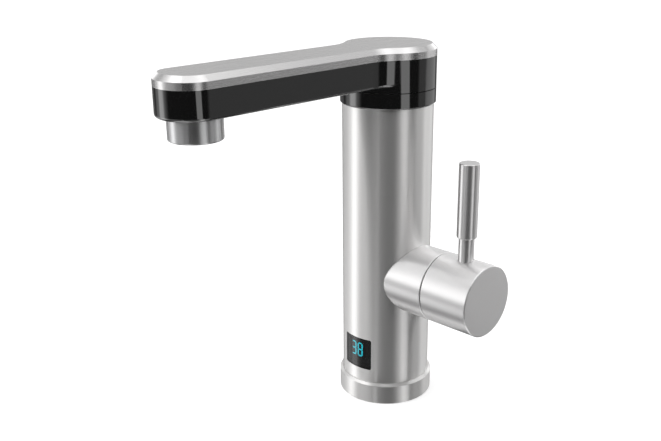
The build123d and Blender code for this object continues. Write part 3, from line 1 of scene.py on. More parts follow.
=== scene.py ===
"""Finishes, fine surfaces, camera and studio for an electric instant water heater tap.

Every object is in metres in the tap's own frame: the origin is the centre of the base's underside,
+Z runs up the column, -Y along the spout and +X along the side handle.
"""

import json
import math

import bpy
import numpy as np
from mathutils import Matrix, Vector

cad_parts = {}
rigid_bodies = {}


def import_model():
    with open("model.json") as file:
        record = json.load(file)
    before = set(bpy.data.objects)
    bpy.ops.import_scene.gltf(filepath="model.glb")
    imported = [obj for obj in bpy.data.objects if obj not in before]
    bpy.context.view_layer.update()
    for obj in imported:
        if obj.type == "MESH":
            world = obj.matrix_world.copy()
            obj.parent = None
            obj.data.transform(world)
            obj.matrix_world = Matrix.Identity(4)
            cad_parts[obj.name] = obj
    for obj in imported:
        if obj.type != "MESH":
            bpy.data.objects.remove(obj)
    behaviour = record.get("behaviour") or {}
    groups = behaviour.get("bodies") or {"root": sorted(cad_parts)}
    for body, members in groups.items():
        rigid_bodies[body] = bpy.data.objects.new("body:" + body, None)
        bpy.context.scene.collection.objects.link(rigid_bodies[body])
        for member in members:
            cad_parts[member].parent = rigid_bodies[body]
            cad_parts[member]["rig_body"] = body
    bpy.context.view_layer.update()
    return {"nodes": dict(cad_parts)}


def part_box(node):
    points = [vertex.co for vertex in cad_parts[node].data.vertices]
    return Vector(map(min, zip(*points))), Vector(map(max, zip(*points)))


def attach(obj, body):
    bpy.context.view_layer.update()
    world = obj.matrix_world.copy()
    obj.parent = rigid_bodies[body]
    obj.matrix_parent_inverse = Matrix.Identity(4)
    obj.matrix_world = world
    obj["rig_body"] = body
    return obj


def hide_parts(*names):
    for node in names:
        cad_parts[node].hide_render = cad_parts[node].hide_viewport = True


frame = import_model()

bl_info = {
    "name": "Water Heater Tap",
    "version": (1, 0, 0),
    "blender": (4, 5, 0),
    "location": "View3D > Sidebar > Tap",
    "description": "Dresses the tap's parts in their real finishes and sets its studio",
    "category": "Object",
}

MM = 0.001
COLUMN_LOW, COLUMN_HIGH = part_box("column_shell")
LENS_LOW, LENS_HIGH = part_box("display_window")
STUB_LOW, STUB_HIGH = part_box("stub_sleeve")
GRIP_LOW, GRIP_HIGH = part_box("lever_grip")
STEM_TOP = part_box("lever_stem")[1].z
BARREL_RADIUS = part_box("valve_body")[1].y
HANDLE_HEIGHT = (STUB_LOW.z + STUB_HIGH.z) / 2


# Colour and nodes


def linear(colour):
    """Turn an sRGB hex colour into linear red, green and blue. A picked colour is that already."""
    if not isinstance(colour, str):
        return tuple(colour)
    values = [int(colour[i : i + 2], 16) / 255 for i in (1, 3, 5)]
    return tuple(v / 12.92 if v <= 0.04045 else ((v + 0.055) / 1.055) ** 2.4 for v in values)


def add_node(tree, kind, inputs=None, **settings):
    """Add a node, set its properties, and give each named input a value or a link."""
    made = tree.nodes.new(kind)
    for name, value in settings.items():
        setattr(made, name, value)
    for name, value in (inputs or {}).items():
        if isinstance(value, bpy.types.NodeSocket):
            tree.links.new(value, made.inputs[name])
        else:
            made.inputs[name].default_value = value
    return made


def new_material(name):
    """Make a material with an empty tree, which finish_with closes."""
    material = bpy.data.materials.new(name)
    material.use_nodes = True
    material.node_tree.nodes.clear()
    return material, material.node_tree


def finish_with(tree, surface):
    """Link a shader to a new material output."""
    add_node(tree, "ShaderNodeOutputMaterial", {"Surface": surface})


def colour_range(tree, factor, dark, light):
    """Blend between two colours by a factor from 0 to 1."""
    ramp = add_node(tree, "ShaderNodeValToRGB", {"Fac": factor})
    ramp.color_ramp.elements[0].color = (*linear(dark), 1)
    ramp.color_ramp.elements[1].color = (*linear(light), 1)
    return ramp.outputs["Color"]


def value_range(tree, factor, low, high):
    """Map a factor from 0 to 1 onto a range of values."""
    mapped = add_node(
        tree, "ShaderNodeMapRange", {"Value": factor, "To Min": low, "To Max": high}
    )
    return mapped.outputs["Result"]


def streaked_noise(tree, spacing, stretch):
    """Noise on Object coordinates, with cells as large as the spacing times the stretch."""
    place = add_node(tree, "ShaderNodeTexCoord")
    scaled = add_node(
        tree,
        "ShaderNodeMapping",
        {"Vector": place.outputs["Object"], "Scale": [1 / (spacing * s) for s in stretch]},
    )
    noise = add_node(
        tree,
        "ShaderNodeTexNoise",
        {"Vector": scaled.outputs["Vector"], "Scale": 1.0, "Detail": 3.0, "Roughness": 0.6},
    )
    return noise.outputs["Fac"]


# Finishes


# Ways in which lines draw light out, a little askew so that they are parallel to no face
UPRIGHT = (0.02, 0.0, 1.0)
SIDEWAYS = (1.0, 0.0, 0.02)

# Stretch of a pattern along X, Y and Z
ROUND_COLUMN = (80, 80, 1)
ROUND_HANDLE = (1, 80, 80)
ROUND_BAR = (50, 50, 1)
ALONG_SPOUT = (1, 80, 1)
TOOL_MARKS = (30, 30, 1)
DRAWN_WIRE = (1, 1, 20)
EVEN = (1, 1, 1)

# Lines of brushed metal: strength of their bump, and how far they vary the roughness either way
LINE_BUMP = 0.2
LINE_ROUGHNESS = 0.02
# Thin lacquer on metal. Its IOR is above a real lacquer's 1.5, for the gloss of the photograph.
LACQUER_ROUGHNESS = 0.06
LACQUER_IOR = 1.7
EDGE_SAMPLES = 6

# Grain of moulded plastic: strength of its bump, and the share by which it varies the roughness
GRAIN_BUMP = 0.3
GRAIN_ROUGHNESS = 0.15
PLASTIC_IOR = 1.53
# Hard clear coat on black ABS, again with an IOR above the real one for the photograph's gloss
GLOSS_ROUGHNESS = 0.03
GLOSS_IOR = 2.2

# The digits' fronts lie on a round 29.15 mm from the column's axis. Their sides start behind it.
GUIDE_SIDES = 29.05 * MM
GUIDE_FRONTS = 29.13 * MM
DIGIT_GLOW = 15.0


def brushed_metal(
    name,
    dark,
    light,
    roughness,
    spacing,
    stretch,
    depth,
    along=None,
    drawn=1.0,
    lacquer=0.0,
    edge=0.0,
):
    """Metal with fine parallel lines, which tint it, vary its roughness and lift a shallow bump.

    The lines are a spacing apart and a depth deep, both in metres, and the stretch says how long
    they are along each axis. Each line is a tiny rounded groove, so it draws light out across
    itself: the direction along is square to the lines, and drawn is how strongly they do it. A
    lacquer adds a thin, sharp gloss over that soft sheen. The edge is the radius, in metres, that
    polishing leaves on sharp edges.
    """
    material, tree = new_material(name)
    lines = streaked_noise(tree, spacing, stretch)
    bump = {"Height": lines, "Distance": depth, "Strength": LINE_BUMP}
    if edge:
        rounded = add_node(tree, "ShaderNodeBevel", {"Radius": edge}, samples=EDGE_SAMPLES)
        bump["Normal"] = rounded.outputs["Normal"]
    lifted = add_node(tree, "ShaderNodeBump", bump)
    smoother, rougher = roughness - LINE_ROUGHNESS, roughness + LINE_ROUGHNESS
    inputs = {
        "Base Color": colour_range(tree, lines, dark, light),
        "Metallic": 1.0,
        "Roughness": value_range(tree, lines, smoother, rougher),
        "Coat Weight": lacquer,
        "Coat Roughness": LACQUER_ROUGHNESS,
        "Coat IOR": LACQUER_IOR,
        "Normal": lifted.outputs["Normal"],
    }
    if along:
        direction = add_node(tree, "ShaderNodeCombineXYZ", dict(zip("XYZ", along)))
        turned = add_node(
            tree,
            "ShaderNodeVectorTransform",
            {"Vector": direction.outputs["Vector"]},
            vector_type="VECTOR",
            convert_from="OBJECT",
            convert_to="WORLD",
        )
        inputs["Tangent"] = turned.outputs["Vector"]
        inputs["Anisotropic"] = drawn
    shader = add_node(tree, "ShaderNodeBsdfPrincipled", inputs)
    finish_with(tree, shader.outputs["BSDF"])
    return material


def moulded_plastic(name, dark, light, roughness, grain, depth, coat=0.0):
    """Moulded plastic or rubber: its eroded or polished mould leaves a fine, even grain.

    The grain's size and depth are in metres. A coat is a hard, clear gloss over it.
    """
    material, tree = new_material(name)
    texture = streaked_noise(tree, grain, EVEN)
    bump = add_node(
        tree, "ShaderNodeBump", {"Height": texture, "Distance": depth, "Strength": GRAIN_BUMP}
    )
    smoother, rougher = roughness * (1 - GRAIN_ROUGHNESS), roughness * (1 + GRAIN_ROUGHNESS)
    shader = add_node(
        tree,
        "ShaderNodeBsdfPrincipled",
        {
            "Base Color": colour_range(tree, texture, dark, light),
            "Roughness": value_range(tree, texture, smoother, rougher),
            "IOR": PLASTIC_IOR,
            "Coat Weight": coat,
            "Coat Roughness": GLOSS_ROUGHNESS,
            "Coat IOR": GLOSS_IOR,
            "Normal": bump.outputs["Normal"],
        },
    )
    finish_with(tree, shader.outputs["BSDF"])
    return material


def picked():
    """The colours in the panel."""
    return bpy.context.scene.tap_colours


def brushed_stainless_tube():
    """Drawn stainless tube, brushed as it turned: level hairlines that draw light up and down."""
    # hairlines 0.1 mm apart on the real tube, drawn 0.3 mm apart so that they show
    return brushed_metal(
        "brushed_stainless_tube",
        picked().tube_dark,
        picked().tube_light,
        roughness=0.42,
        spacing=0.3 * MM,
        stretch=ROUND_COLUMN,
        depth=0.0005 * MM,
        along=UPRIGHT,
        lacquer=0.8,
    )


def turned_stainless_ring():
    """Stainless ring, turned and satin-polished: level lines, a little greyer than the tube."""
    # lathe lines 0.15 mm apart on the real ring, drawn as wide as the tube's
    return brushed_metal(
        "turned_stainless_ring",
        "#e8e7e6",
        "#efeeed",
        roughness=0.38,
        spacing=0.3 * MM,
        stretch=ROUND_COLUMN,
        depth=0.0005 * MM,
        along=UPRIGHT,
        lacquer=0.3,
        edge=0.3 * MM,
    )


def turned_satin_zinc():
    """Zinc casting, turned and satin-plated: pale, with faint lines round the handle's axis."""
    # lathe lines 0.15 mm apart on the real casting, drawn as wide as the tube's
    return brushed_metal(
        "turned_satin_zinc",
        picked().handle_dark,
        picked().handle_light,
        roughness=0.42,
        spacing=0.3 * MM,
        stretch=ROUND_HANDLE,
        depth=0.0005 * MM,
        along=SIDEWAYS,
        drawn=0.7,
        lacquer=0.6,
        edge=0.9 * MM,
    )


def brushed_aluminium_lid():
    """Aluminium plate brushed along the spout, then clear anodised: an even satin grey."""
    # brush lines 0.1 mm apart on the real plate, drawn 0.25 mm apart so that they show
    return brushed_metal(
        "brushed_aluminium_lid",
        picked().lid_dark,
        picked().lid_light,
        roughness=0.27,
        spacing=0.25 * MM,
        stretch=ALONG_SPOUT,
        depth=0.0001 * MM,
        along=UPRIGHT,
        drawn=0.9,
    )


def turned_satin_grip():
    """Steel bar turned and satin-polished: narrow upright bands of dark and bright."""
    # lathe lines 0.15 mm apart on the real bar, drawn as wide as the tube's
    return brushed_metal(
        "turned_satin_grip",
        "#dcdbdb",
        "#e4e3e3",
        roughness=0.34,
        spacing=0.3 * MM,
        stretch=ROUND_BAR,
        depth=0.0005 * MM,
        along=UPRIGHT,
        lacquer=0.8,
        edge=0.3 * MM,
    )


def plated_collar():
    """Brass collar with satin chrome plate: cool and bright, a little softer than a mirror."""
    # lathe lines 0.15 mm apart on the real collar, drawn as wide as the tube's
    return brushed_metal(
        "plated_collar",
        "#c6c6c7",
        "#cfcfd0",
        roughness=0.32,
        spacing=0.3 * MM,
        stretch=ROUND_BAR,
        depth=0.0004 * MM,
        along=UPRIGHT,
        lacquer=0.6,
        edge=0.3 * MM,
    )


def machined_brass():
    """Free-cutting brass, machined: warm, with fine tool marks."""
    return brushed_metal(
        "machined_brass",
        "#c39a52",
        "#d6b268",
        roughness=0.28,
        spacing=0.4 * MM,
        stretch=TOOL_MARKS,
        depth=0.003 * MM,
    )


def plain_stainless():
    """Cold-formed stainless of screws and springs: grey, lightly drawn."""
    return brushed_metal(
        "plain_stainless",
        "#b3b3b5",
        "#c6c6c8",
        roughness=0.3,
        spacing=0.4 * MM,
        stretch=DRAWN_WIRE,
        depth=0.002 * MM,
    )


def gloss_black_abs():
    """Black ABS from a polished mould, piano-lacquered: deep black under a hard, clean gloss."""
    # the ripple of the mould's polish is 6 mm across and barely bends a reflection
    return moulded_plastic(
        "gloss_black_abs",
        picked().black_dark,
        picked().black_light,
        roughness=0.09,
        grain=6 * MM,
        depth=0.0003 * MM,
        coat=1.0,
    )


def white_acetal():
    """White acetal of the aerator and bushes: waxy and slightly soft in gloss."""
    return moulded_plastic(
        "white_acetal", "#dcdcd8", "#e6e6e2", roughness=0.38, grain=0.4 * MM, depth=0.01 * MM
    )


def grey_glass_nylon():
    """Glass-filled nylon: mid grey, matt, with short fibres near the skin."""
    return moulded_plastic(
        "grey_glass_nylon", "#8a8c8e", "#999b9d", roughness=0.55, grain=0.3 * MM, depth=0.02 * MM
    )


def black_nylon():
    """Black nylon of the gland, carrier and plugs: dull with a fine eroded grain."""
    return moulded_plastic(
        "black_nylon", "#1e1e1f", "#272728", roughness=0.5, grain=0.3 * MM, depth=0.015 * MM
    )


def lapped_alumina():
    """Lapped alumina ceramic: cream white, dense and smooth, with a fine and even grain."""
    return moulded_plastic(
        "lapped_alumina", "#e9e7df", "#f2f0e9", roughness=0.22, grain=0.2 * MM, depth=0.002 * MM
    )


def black_nitrile():
    """Nitrile rubber of the gasket and seals: dark, matt, faintly dusty."""
    return moulded_plastic(
        "black_nitrile", "#19191a", "#232324", roughness=0.68, grain=0.35 * MM, depth=0.02 * MM
    )


def silicone_hose():
    """Silicone hose: milky and soft."""
    return moulded_plastic(
        "silicone_hose", "#cfcbc0", "#dad6cc", roughness=0.5, grain=0.8 * MM, depth=0.01 * MM
    )


def blue_case():
    """Blue moulded case of the relay: bright gloss."""
    return moulded_plastic(
        "blue_case", "#2a5fae", "#3468b8", roughness=0.3, grain=0.4 * MM, depth=0.005 * MM
    )


def circuit_board():
    """Glass-epoxy board under green mask: copper areas show as paler patches 2.5 mm wide."""
    material, tree = new_material("circuit_board")
    place = add_node(tree, "ShaderNodeTexCoord")
    patches = add_node(
        tree,
        "ShaderNodeTexVoronoi",
        {"Vector": place.outputs["Object"], "Scale": 1 / (2.5 * MM)},
        distance="CHEBYCHEV",
    )
    shader = add_node(
        tree,
        "ShaderNodeBsdfPrincipled",
        {
            "Base Color": colour_range(tree, patches.outputs["Distance"], "#16663f", "#0c4a2c"),
            "Roughness": 0.32,
            "IOR": 1.5,
        },
    )
    finish_with(tree, shader.outputs["BSDF"])
    return material


def smoked_acrylic():
    """Smoked acrylic lens: near black, glossy, and clear enough for the lit digits behind it."""
    material, tree = new_material("smoked_acrylic")
    shader = add_node(
        tree,
        "ShaderNodeBsdfPrincipled",
        {
            "Base Color": (*linear(picked().lens), 1),
            "Roughness": 0.03,
            "IOR": 1.49,
            "Transmission Weight": 1.0,
        },
    )
    finish_with(tree, shader.outputs["BSDF"])
    return material


def lit_light_guide():
    """Acrylic light guide lit from behind: its front glows, and its painted sides keep light in."""
    material, tree = new_material("lit_light_guide")
    place = add_node(tree, "ShaderNodeTexCoord")
    level = add_node(
        tree, "ShaderNodeMapping", {"Vector": place.outputs["Object"], "Scale": (1, 1, 0)}
    )
    reach = add_node(
        tree, "ShaderNodeVectorMath", {"Vector": level.outputs["Vector"]}, operation="LENGTH"
    )
    front = add_node(
        tree,
        "ShaderNodeMapRange",
        {"Value": reach.outputs["Value"], "From Min": GUIDE_SIDES, "From Max": GUIDE_FRONTS},
    )
    glow = colour_range(tree, front.outputs["Result"], "#000000", picked().digits)
    shader = add_node(
        tree,
        "ShaderNodeBsdfPrincipled",
        {
            "Base Color": (*linear("#0b2226"), 1),
            "Roughness": 0.35,
            "Emission Color": glow,
            "Emission Strength": DIGIT_GLOW,
        },
    )
    finish_with(tree, shader.outputs["BSDF"])
    return material


FINISHES = {
    "brushed_steel": brushed_stainless_tube,
    "base_steel": turned_stainless_ring,
    "satin_metal": turned_satin_zinc,
    "cover_metal": brushed_aluminium_lid,
    "grip_metal": turned_satin_grip,
    "polished_metal": plated_collar,
    "black_gloss": gloss_black_abs,
    "smoked_lens": smoked_acrylic,
    "lit_digits": lit_light_guide,
    "brass": machined_brass,
    "steel": plain_stainless,
    "white_plastic": white_acetal,
    "grey_plastic": grey_glass_nylon,
    "black_plastic": black_nylon,
    "ceramic": lapped_alumina,
    "rubber": black_nitrile,
    "silicone": silicone_hose,
    "board": circuit_board,
    "blue_case": blue_case,
}


def slot_of(node_name):
    """The record's material slot that a node was packed with."""
    return frame["nodes"][node_name].material_slots[0].material.name


SLOT_OF_NODE = {name: slot_of(name) for name in frame["nodes"]}


def finish(slot):
    """The finish of a material slot, made on its first use."""
    wanted = FINISHES[slot]
    return bpy.data.materials.get(wanted.__name__) or wanted()


# Surfaces


# Steps on a profile's rounded corner, steps round a turned piece, and a radius that counts as none
ARC_STEPS = 6
TURN_STEPS = 128
NO_RADIUS = 1e-9

# Upright lines of the tube: in a window's corner, between two corners, and round the side hole
CORNER_LINES = 9
STRAIGHT_LINES = 25
HOLE_SIDES = 72
LINE_STEP = math.radians(2)
# Rows of the tube: below the window, beside it, up to the side hole, beside that, and above it
ROWS = (6, 8, 8, 6, 24)

STEM_BORE = 3.1 * MM
STEM_END_GAP = 0.1 * MM
BORE_CORNER = 0.2 * MM


def rounded_profile(corners, radii):
    """Points and left-hand normals of an open outline whose corners are tangent arcs.

    An arc of radius r starts r tan(a / 2) before its corner, where a is the angle that the outline
    turns there.
    """
    corners = np.asarray(corners, float)
    sides = np.diff(corners, axis=0)
    along = sides / np.linalg.norm(sides, axis=1)[:, None]
    across = np.stack([-along[:, 1], along[:, 0]], axis=1)
    points, normals = [corners[:1]], [across[:1]]
    for k, radius in enumerate(radii, start=1):
        before, after = along[k - 1], along[k]
        turn = math.atan2(before[0] * after[1] - before[1] * after[0], before @ after)
        start = corners[k] - before * radius * math.tan(abs(turn) / 2)
        centre = start + across[k - 1] * radius * math.copysign(1, turn)
        angles = np.linspace(0, turn, ARC_STEPS + 1)
        turned = np.stack(
            [
                np.cos(angles) * across[k - 1, 0] - np.sin(angles) * across[k - 1, 1],
                np.sin(angles) * across[k - 1, 0] + np.cos(angles) * across[k - 1, 1],
            ],
            axis=1,
        )
        points.append(centre - turned * radius * math.copysign(1, turn))
        normals.append(turned)
    points.append(corners[-1:])
    normals.append(across[-1:])
    return np.concatenate(points), np.concatenate(normals)


def grid_faces(rows, columns):
    """Quads between neighbouring rows and columns, the last column joined to the first."""
    row = np.arange(rows - 1)[:, None]
    column = np.arange(columns)[None, :]
    following = (column + 1) % columns
    quads = [row * columns + column, row * columns + following]
    quads += [(row + 1) * columns + following, (row + 1) * columns + column]
    return np.stack(quads, axis=-1)


def make_piece(name, points, faces, normals, node_name):
    """Make a mesh of arrays with exact normals, in the finish and on the body of its node."""
    mesh = bpy.data.meshes.new(name)
    mesh.from_pydata(points.tolist(), [], faces)
    mesh.validate()
    mesh.polygons.foreach_set("use_smooth", np.ones(len(mesh.polygons), bool))
    mesh.normals_split_custom_set_from_vertices(normals.tolist())
    piece = bpy.data.objects.new(name, mesh)
    bpy.context.scene.collection.objects.link(piece)
    slot = SLOT_OF_NODE[node_name]
    mesh.materials.append(finish(slot))
    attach(piece, frame["nodes"][node_name]["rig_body"])
    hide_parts(node_name)
    return piece


def turned_piece(name, profile, normals, centre, axis, node_name):
    """Surface of revolution: each profile point (radius, height) goes round at its own height.

    With unit vectors u and v square to the axis a, a point is centre + h a + r (cos t u + sin t v).
    Points on the axis are one vertex each.
    """
    axis = np.asarray(axis, float)
    first = np.array([0.0, 1.0, 0.0]) if abs(axis[1]) < 0.5 else np.array([0.0, 0.0, 1.0])
    u = np.cross(first, axis)
    v = np.cross(axis, u)
    angles = np.linspace(0, 2 * math.pi, TURN_STEPS, endpoint=False)
    around = np.cos(angles)[:, None] * u + np.sin(angles)[:, None] * v
    points = profile[:, 0, None, None] * around + profile[:, 1, None, None] * axis
    points = (points + np.asarray(centre, float)).reshape(-1, 3)
    directions = normals[:, 0, None, None] * around + normals[:, 1, None, None] * axis
    directions = directions.reshape(-1, 3)
    quads = grid_faces(len(profile), TURN_STEPS).reshape(-1, 4)
    on_axis = np.repeat(profile[:, 0] < NO_RADIUS, TURN_STEPS)
    first_of_row = np.repeat(np.arange(len(profile)) * TURN_STEPS, TURN_STEPS)
    place = np.where(on_axis, first_of_row, np.arange(len(points)))
    quads = place[quads][:, ::-1]
    # a quad at the axis has the same corner twice, and becomes a triangle
    faces = [tuple(dict.fromkeys(q)) for q in quads.tolist()]
    used, compact = np.unique(np.concatenate([np.array(f) for f in faces]), return_inverse=True)
    ends = np.cumsum([len(f) for f in faces])[:-1]
    faces = [part.tolist() for part in np.split(compact, ends)]
    return make_piece(name, points[used], faces, directions[used], node_name)


def even_angles(start, end):
    """Angles strictly between two angles, spread evenly about a line step apart."""
    count = max(2, int(round((end - start) / LINE_STEP)))
    return np.linspace(start, end, count + 1)[1:-1]


def window_lines(half_width, corner):
    """Upright lines across a window with round corners: x, and its reach past the arcs' centres."""
    arc = np.linspace(0, math.pi / 2, CORNER_LINES)
    corner_x = half_width - corner + corner * np.cos(arc)
    corner_reach = corner * np.sin(arc)
    straight = np.linspace(half_width - corner, -(half_width - corner), STRAIGHT_LINES)[1:-1]
    x = np.concatenate([corner_x, straight, -corner_x[::-1]])[::-1]
    reach = np.concatenate([corner_reach, np.full(len(straight), corner), corner_reach[::-1]])
    return x, reach


def hole_lines(radius):
    """Upright lines across a round hole: the distance across, and half the hole's height there.

    They pass through the corners of an even polygon whose first and last sides are upright.
    """
    turn = (np.arange(HOLE_SIDES // 2) + 0.5) * 2 * math.pi / HOLE_SIDES
    return -radius * np.cos(turn), radius * np.sin(turn)


def column_tube(sizes):
    """Build the tube as a grid of upright lines and rows, without the cells at its two openings.

    A point is (R sin a, -R cos a, z), where a is the angle round from the display. On each line the
    rows are spread evenly between the openings' edges, and a line beside an opening keeps the
    heights at which that opening's edge ends.
    """
    radius = COLUMN_HIGH.x
    half_width = (LENS_HIGH.x - LENS_LOW.x) / 2 - sizes.lens_lap + sizes.lens_gap
    window_low = LENS_LOW.z + sizes.lens_lap - sizes.lens_gap
    window_high = LENS_HIGH.z - sizes.lens_lap + sizes.lens_gap
    corner = sizes.lens_corner + sizes.lens_gap
    window_x, window_reach = window_lines(half_width, corner)
    hole_across, hole_half = hole_lines(BARREL_RADIUS + sizes.hole_gap)

    window_angle = np.arcsin(window_x / radius)
    hole_angle = math.pi / 2 + np.arcsin(hole_across / radius)
    gap_a = even_angles(window_angle[-1], hole_angle[0])
    gap_b = even_angles(hole_angle[-1], window_angle[0] + 2 * math.pi)
    angle = np.concatenate([window_angle, gap_a, hole_angle, gap_b])
    lines = len(angle)
    hole_start = len(window_angle) + len(gap_a)
    hole_end = hole_start + len(hole_angle)
    reach = np.zeros(lines)
    reach[: len(window_angle)] = window_reach
    half = np.full(lines, hole_half[0])
    half[hole_start:hole_end] = hole_half

    edges = [
        np.full(lines, COLUMN_LOW.z),
        window_low + corner - reach,
        window_high - corner + reach,
        HANDLE_HEIGHT - half,
        HANDLE_HEIGHT + half,
        np.full(lines, COLUMN_HIGH.z),
    ]
    heights = np.concatenate(
        [
            low + (high - low) * (np.arange(count) / count)[:, None]
            for low, high, count in zip(edges[:-1], edges[1:], ROWS)
        ]
        + [edges[-1][None, :]]
    )
    kept = np.ones((len(heights) - 1, lines), bool)
    kept[ROWS[0] : sum(ROWS[:2]), : len(window_angle) - 1] = False
    kept[sum(ROWS[:3]) : sum(ROWS[:4]), hole_start : hole_end - 1] = False

    outward = np.stack([np.sin(angle), -np.cos(angle), np.zeros(lines)], axis=1)
    outward = np.broadcast_to(outward, (len(heights), lines, 3))
    outer = outward * radius
    outer = outer + heights[:, :, None] * np.array([0, 0, 1])
    inner = outer - outward * sizes.tube_wall
    quads = grid_faces(len(heights), lines)[kept]
    count = len(heights) * lines
    rims = rim_faces(quads, count)
    points = np.concatenate([outer.reshape(-1, 3), inner.reshape(-1, 3)])
    faces = np.concatenate([quads, quads[:, ::-1] + count, rims])
    flat = outward.reshape(-1, 3)
    normals = np.concatenate([flat, -flat])
    make_walled_piece("column_tube", points, faces, normals, len(rims), "column_shell")


def rim_faces(quads, offset):
    """Quads between a sheet's open edges and those of its copy, numbered on by an offset."""
    edges = np.concatenate([quads[:, [i, (i + 1) % 4]] for i in range(4)])
    keys = np.sort(edges, axis=1)
    _, first, counts = np.unique(keys, axis=0, return_index=True, return_counts=True)
    start, end = edges[first[counts == 1]].T
    return np.stack([end, start, start + offset, end + offset], axis=1)


def make_walled_piece(name, points, faces, normals, rim_count, node_name):
    """Make a piece whose last faces are flat rims and whose others have their vertices' normals."""
    used, compact = np.unique(faces, return_inverse=True)
    faces = compact.reshape(faces.shape)
    points, normals = points[used], normals[used]
    piece = make_piece(name, points, faces.tolist(), normals, node_name)
    corners = normals[faces]
    rims = points[faces[-rim_count:]]
    flat = np.cross(rims[:, 2] - rims[:, 0], rims[:, 3] - rims[:, 1])
    corners[-rim_count:] = (flat / np.linalg.norm(flat, axis=1)[:, None])[:, None, :]
    piece.data.normals_split_custom_set(corners.reshape(-1, 3).tolist())


def grip_bar(sizes):
    """Build the lever's grip as one turned profile: top, side, foot and the bore for the stem."""
    radius = (GRIP_HIGH.x - GRIP_LOW.x) / 2
    centre = ((GRIP_HIGH.x + GRIP_LOW.x) / 2, 0, GRIP_LOW.z)
    height = GRIP_HIGH.z - GRIP_LOW.z
    bore_top = (STEM_TOP - GRIP_LOW.z) + STEM_END_GAP
    corners = [
        (0, height),
        (radius, height),
        (radius, 0),
        (STEM_BORE, 0),
        (STEM_BORE, bore_top),
        (0, bore_top),
    ]
    radii = [sizes.grip_edge, sizes.grip_foot, BORE_CORNER, BORE_CORNER]
    points, normals = rounded_profile(corners, radii)
    turned_piece("grip_bar", points, normals, centre, (0, 0, 1), "lever_grip")


# Settings


def colour_setting(name, description, hex_colour):
    """A colour in the panel, which starts as an sRGB hex colour."""
    return bpy.props.FloatVectorProperty(
        name=name,
        description=description,
        default=linear(hex_colour),
        size=3,
        min=0.0,
        max=1.0,
        subtype="COLOR",
    )


class TapSizes(bpy.types.PropertyGroup):
    """Sizes of the fine surfaces that the parts' own boxes don't give."""

    tube_wall: bpy.props.FloatProperty(
        name="Tube wall", description="Wall of the column's tube", default=1.2 * MM, unit="LENGTH"
    )
    lens_lap: bpy.props.FloatProperty(
        name="Lens lap",
        description="Width of the lens's flange behind the tube",
        default=1.6 * MM,
        unit="LENGTH",
    )
    lens_gap: bpy.props.FloatProperty(
        name="Lens gap", description="Gap round the lens", default=0.1 * MM, unit="LENGTH"
    )
    lens_corner: bpy.props.FloatProperty(
        name="Lens corner",
        description="Corner radius of the lens",
        default=1.2 * MM,
        unit="LENGTH",
    )
    hole_gap: bpy.props.FloatProperty(
        name="Side hole gap",
        description="Gap between the valve's barrel and the tube",
        default=0.7 * MM,
        unit="LENGTH",
    )
    grip_foot: bpy.props.FloatProperty(
        name="Grip foot", description="Radius at the grip's foot", default=1.2 * MM, unit="LENGTH"
    )
    grip_edge: bpy.props.FloatProperty(
        name="Grip edge", description="Radius at the grip's top", default=0.6 * MM, unit="LENGTH"
    )


class TapColours(bpy.types.PropertyGroup):
    """Colours of the finishes that show most. A brushed or moulded one varies between two."""

    tube_dark: colour_setting("Tube, dark", "Darkest tint of the column's tube", "#f0efee")
    tube_light: colour_setting("Tube, light", "Lightest tint of the column's tube", "#f6f5f4")
    handle_dark: colour_setting("Handle, dark", "Darkest tint of the knob and stub", "#eeeded")
    handle_light: colour_setting("Handle, light", "Lightest tint of the knob and stub", "#f5f4f4")
    lid_dark: colour_setting("Lid, dark", "Darkest tint of the spout's lid", "#d3d2d2")
    lid_light: colour_setting("Lid, light", "Lightest tint of the spout's lid", "#d7d6d6")
    black_dark: colour_setting("Black, dark", "Darkest tint of the black gloss", "#060606")
    black_light: colour_setting("Black, light", "Lightest tint of the black gloss", "#090909")
    lens: colour_setting("Lens", "Smoked tint of the display's lens", "#4b4b4d")
    digits: colour_setting("Digits", "Glow of the lit digits", "#1cc0cc")


class TapStudio(bpy.types.PropertyGroup):
    """Camera, floor and light."""

    azimuth: bpy.props.FloatProperty(
        name="Azimuth",
        description="Camera's turn about the column, from looking along +Y",
        default=math.radians(44.475),
        subtype="ANGLE",
    )
    elevation: bpy.props.FloatProperty(
        name="Elevation",
        description="Camera's angle above the horizon",
        default=math.radians(18.944),
        subtype="ANGLE",
    )
    roll: bpy.props.FloatProperty(
        name="Roll", description="Camera's roll", default=math.radians(-0.308), subtype="ANGLE"
    )
    distance: bpy.props.FloatProperty(
        name="Distance",
        description="Camera to the point it looks at",
        default=0.6183,
        unit="LENGTH",
    )
    target_height: bpy.props.FloatProperty(
        name="Target height", description="Height of that point", default=0.11694, unit="LENGTH"
    )
    target_side: bpy.props.FloatProperty(
        name="Target side",
        description="How far that point lies to the camera's right of the column",
        default=-0.02798,
        unit="LENGTH",
    )
    lens: bpy.props.FloatProperty(
        name="Focal length", description="Focal length of the lens", default=49.22, unit="CAMERA"
    )
    shift_right: bpy.props.FloatProperty(
        name="Shift right",
        description="Lens shift to the right, as a share of the sensor's width",
        default=-0.0231,
    )
    shift_up: bpy.props.FloatProperty(
        name="Shift up",
        description="Lens shift upwards, as a share of the sensor's width",
        default=0.0137,
    )
    floor_radius: bpy.props.FloatProperty(
        name="Floor radius", description="Radius of the pale floor", default=8.0, unit="LENGTH"
    )
    room_level: bpy.props.FloatProperty(
        name="Room level", description="Light level of the dim room", default=0.025
    )
    ceiling_level: bpy.props.FloatProperty(
        name="Ceiling level", description="Light level of the ceiling", default=1.5
    )
    ground_level: bpy.props.FloatProperty(
        name="Ground level", description="Light level of the ground, as metal sees it", default=0.5
    )
    key_power: bpy.props.FloatProperty(
        name="Key power", description="Power of the large soft lamp", default=9.0, unit="POWER"
    )


# Studio


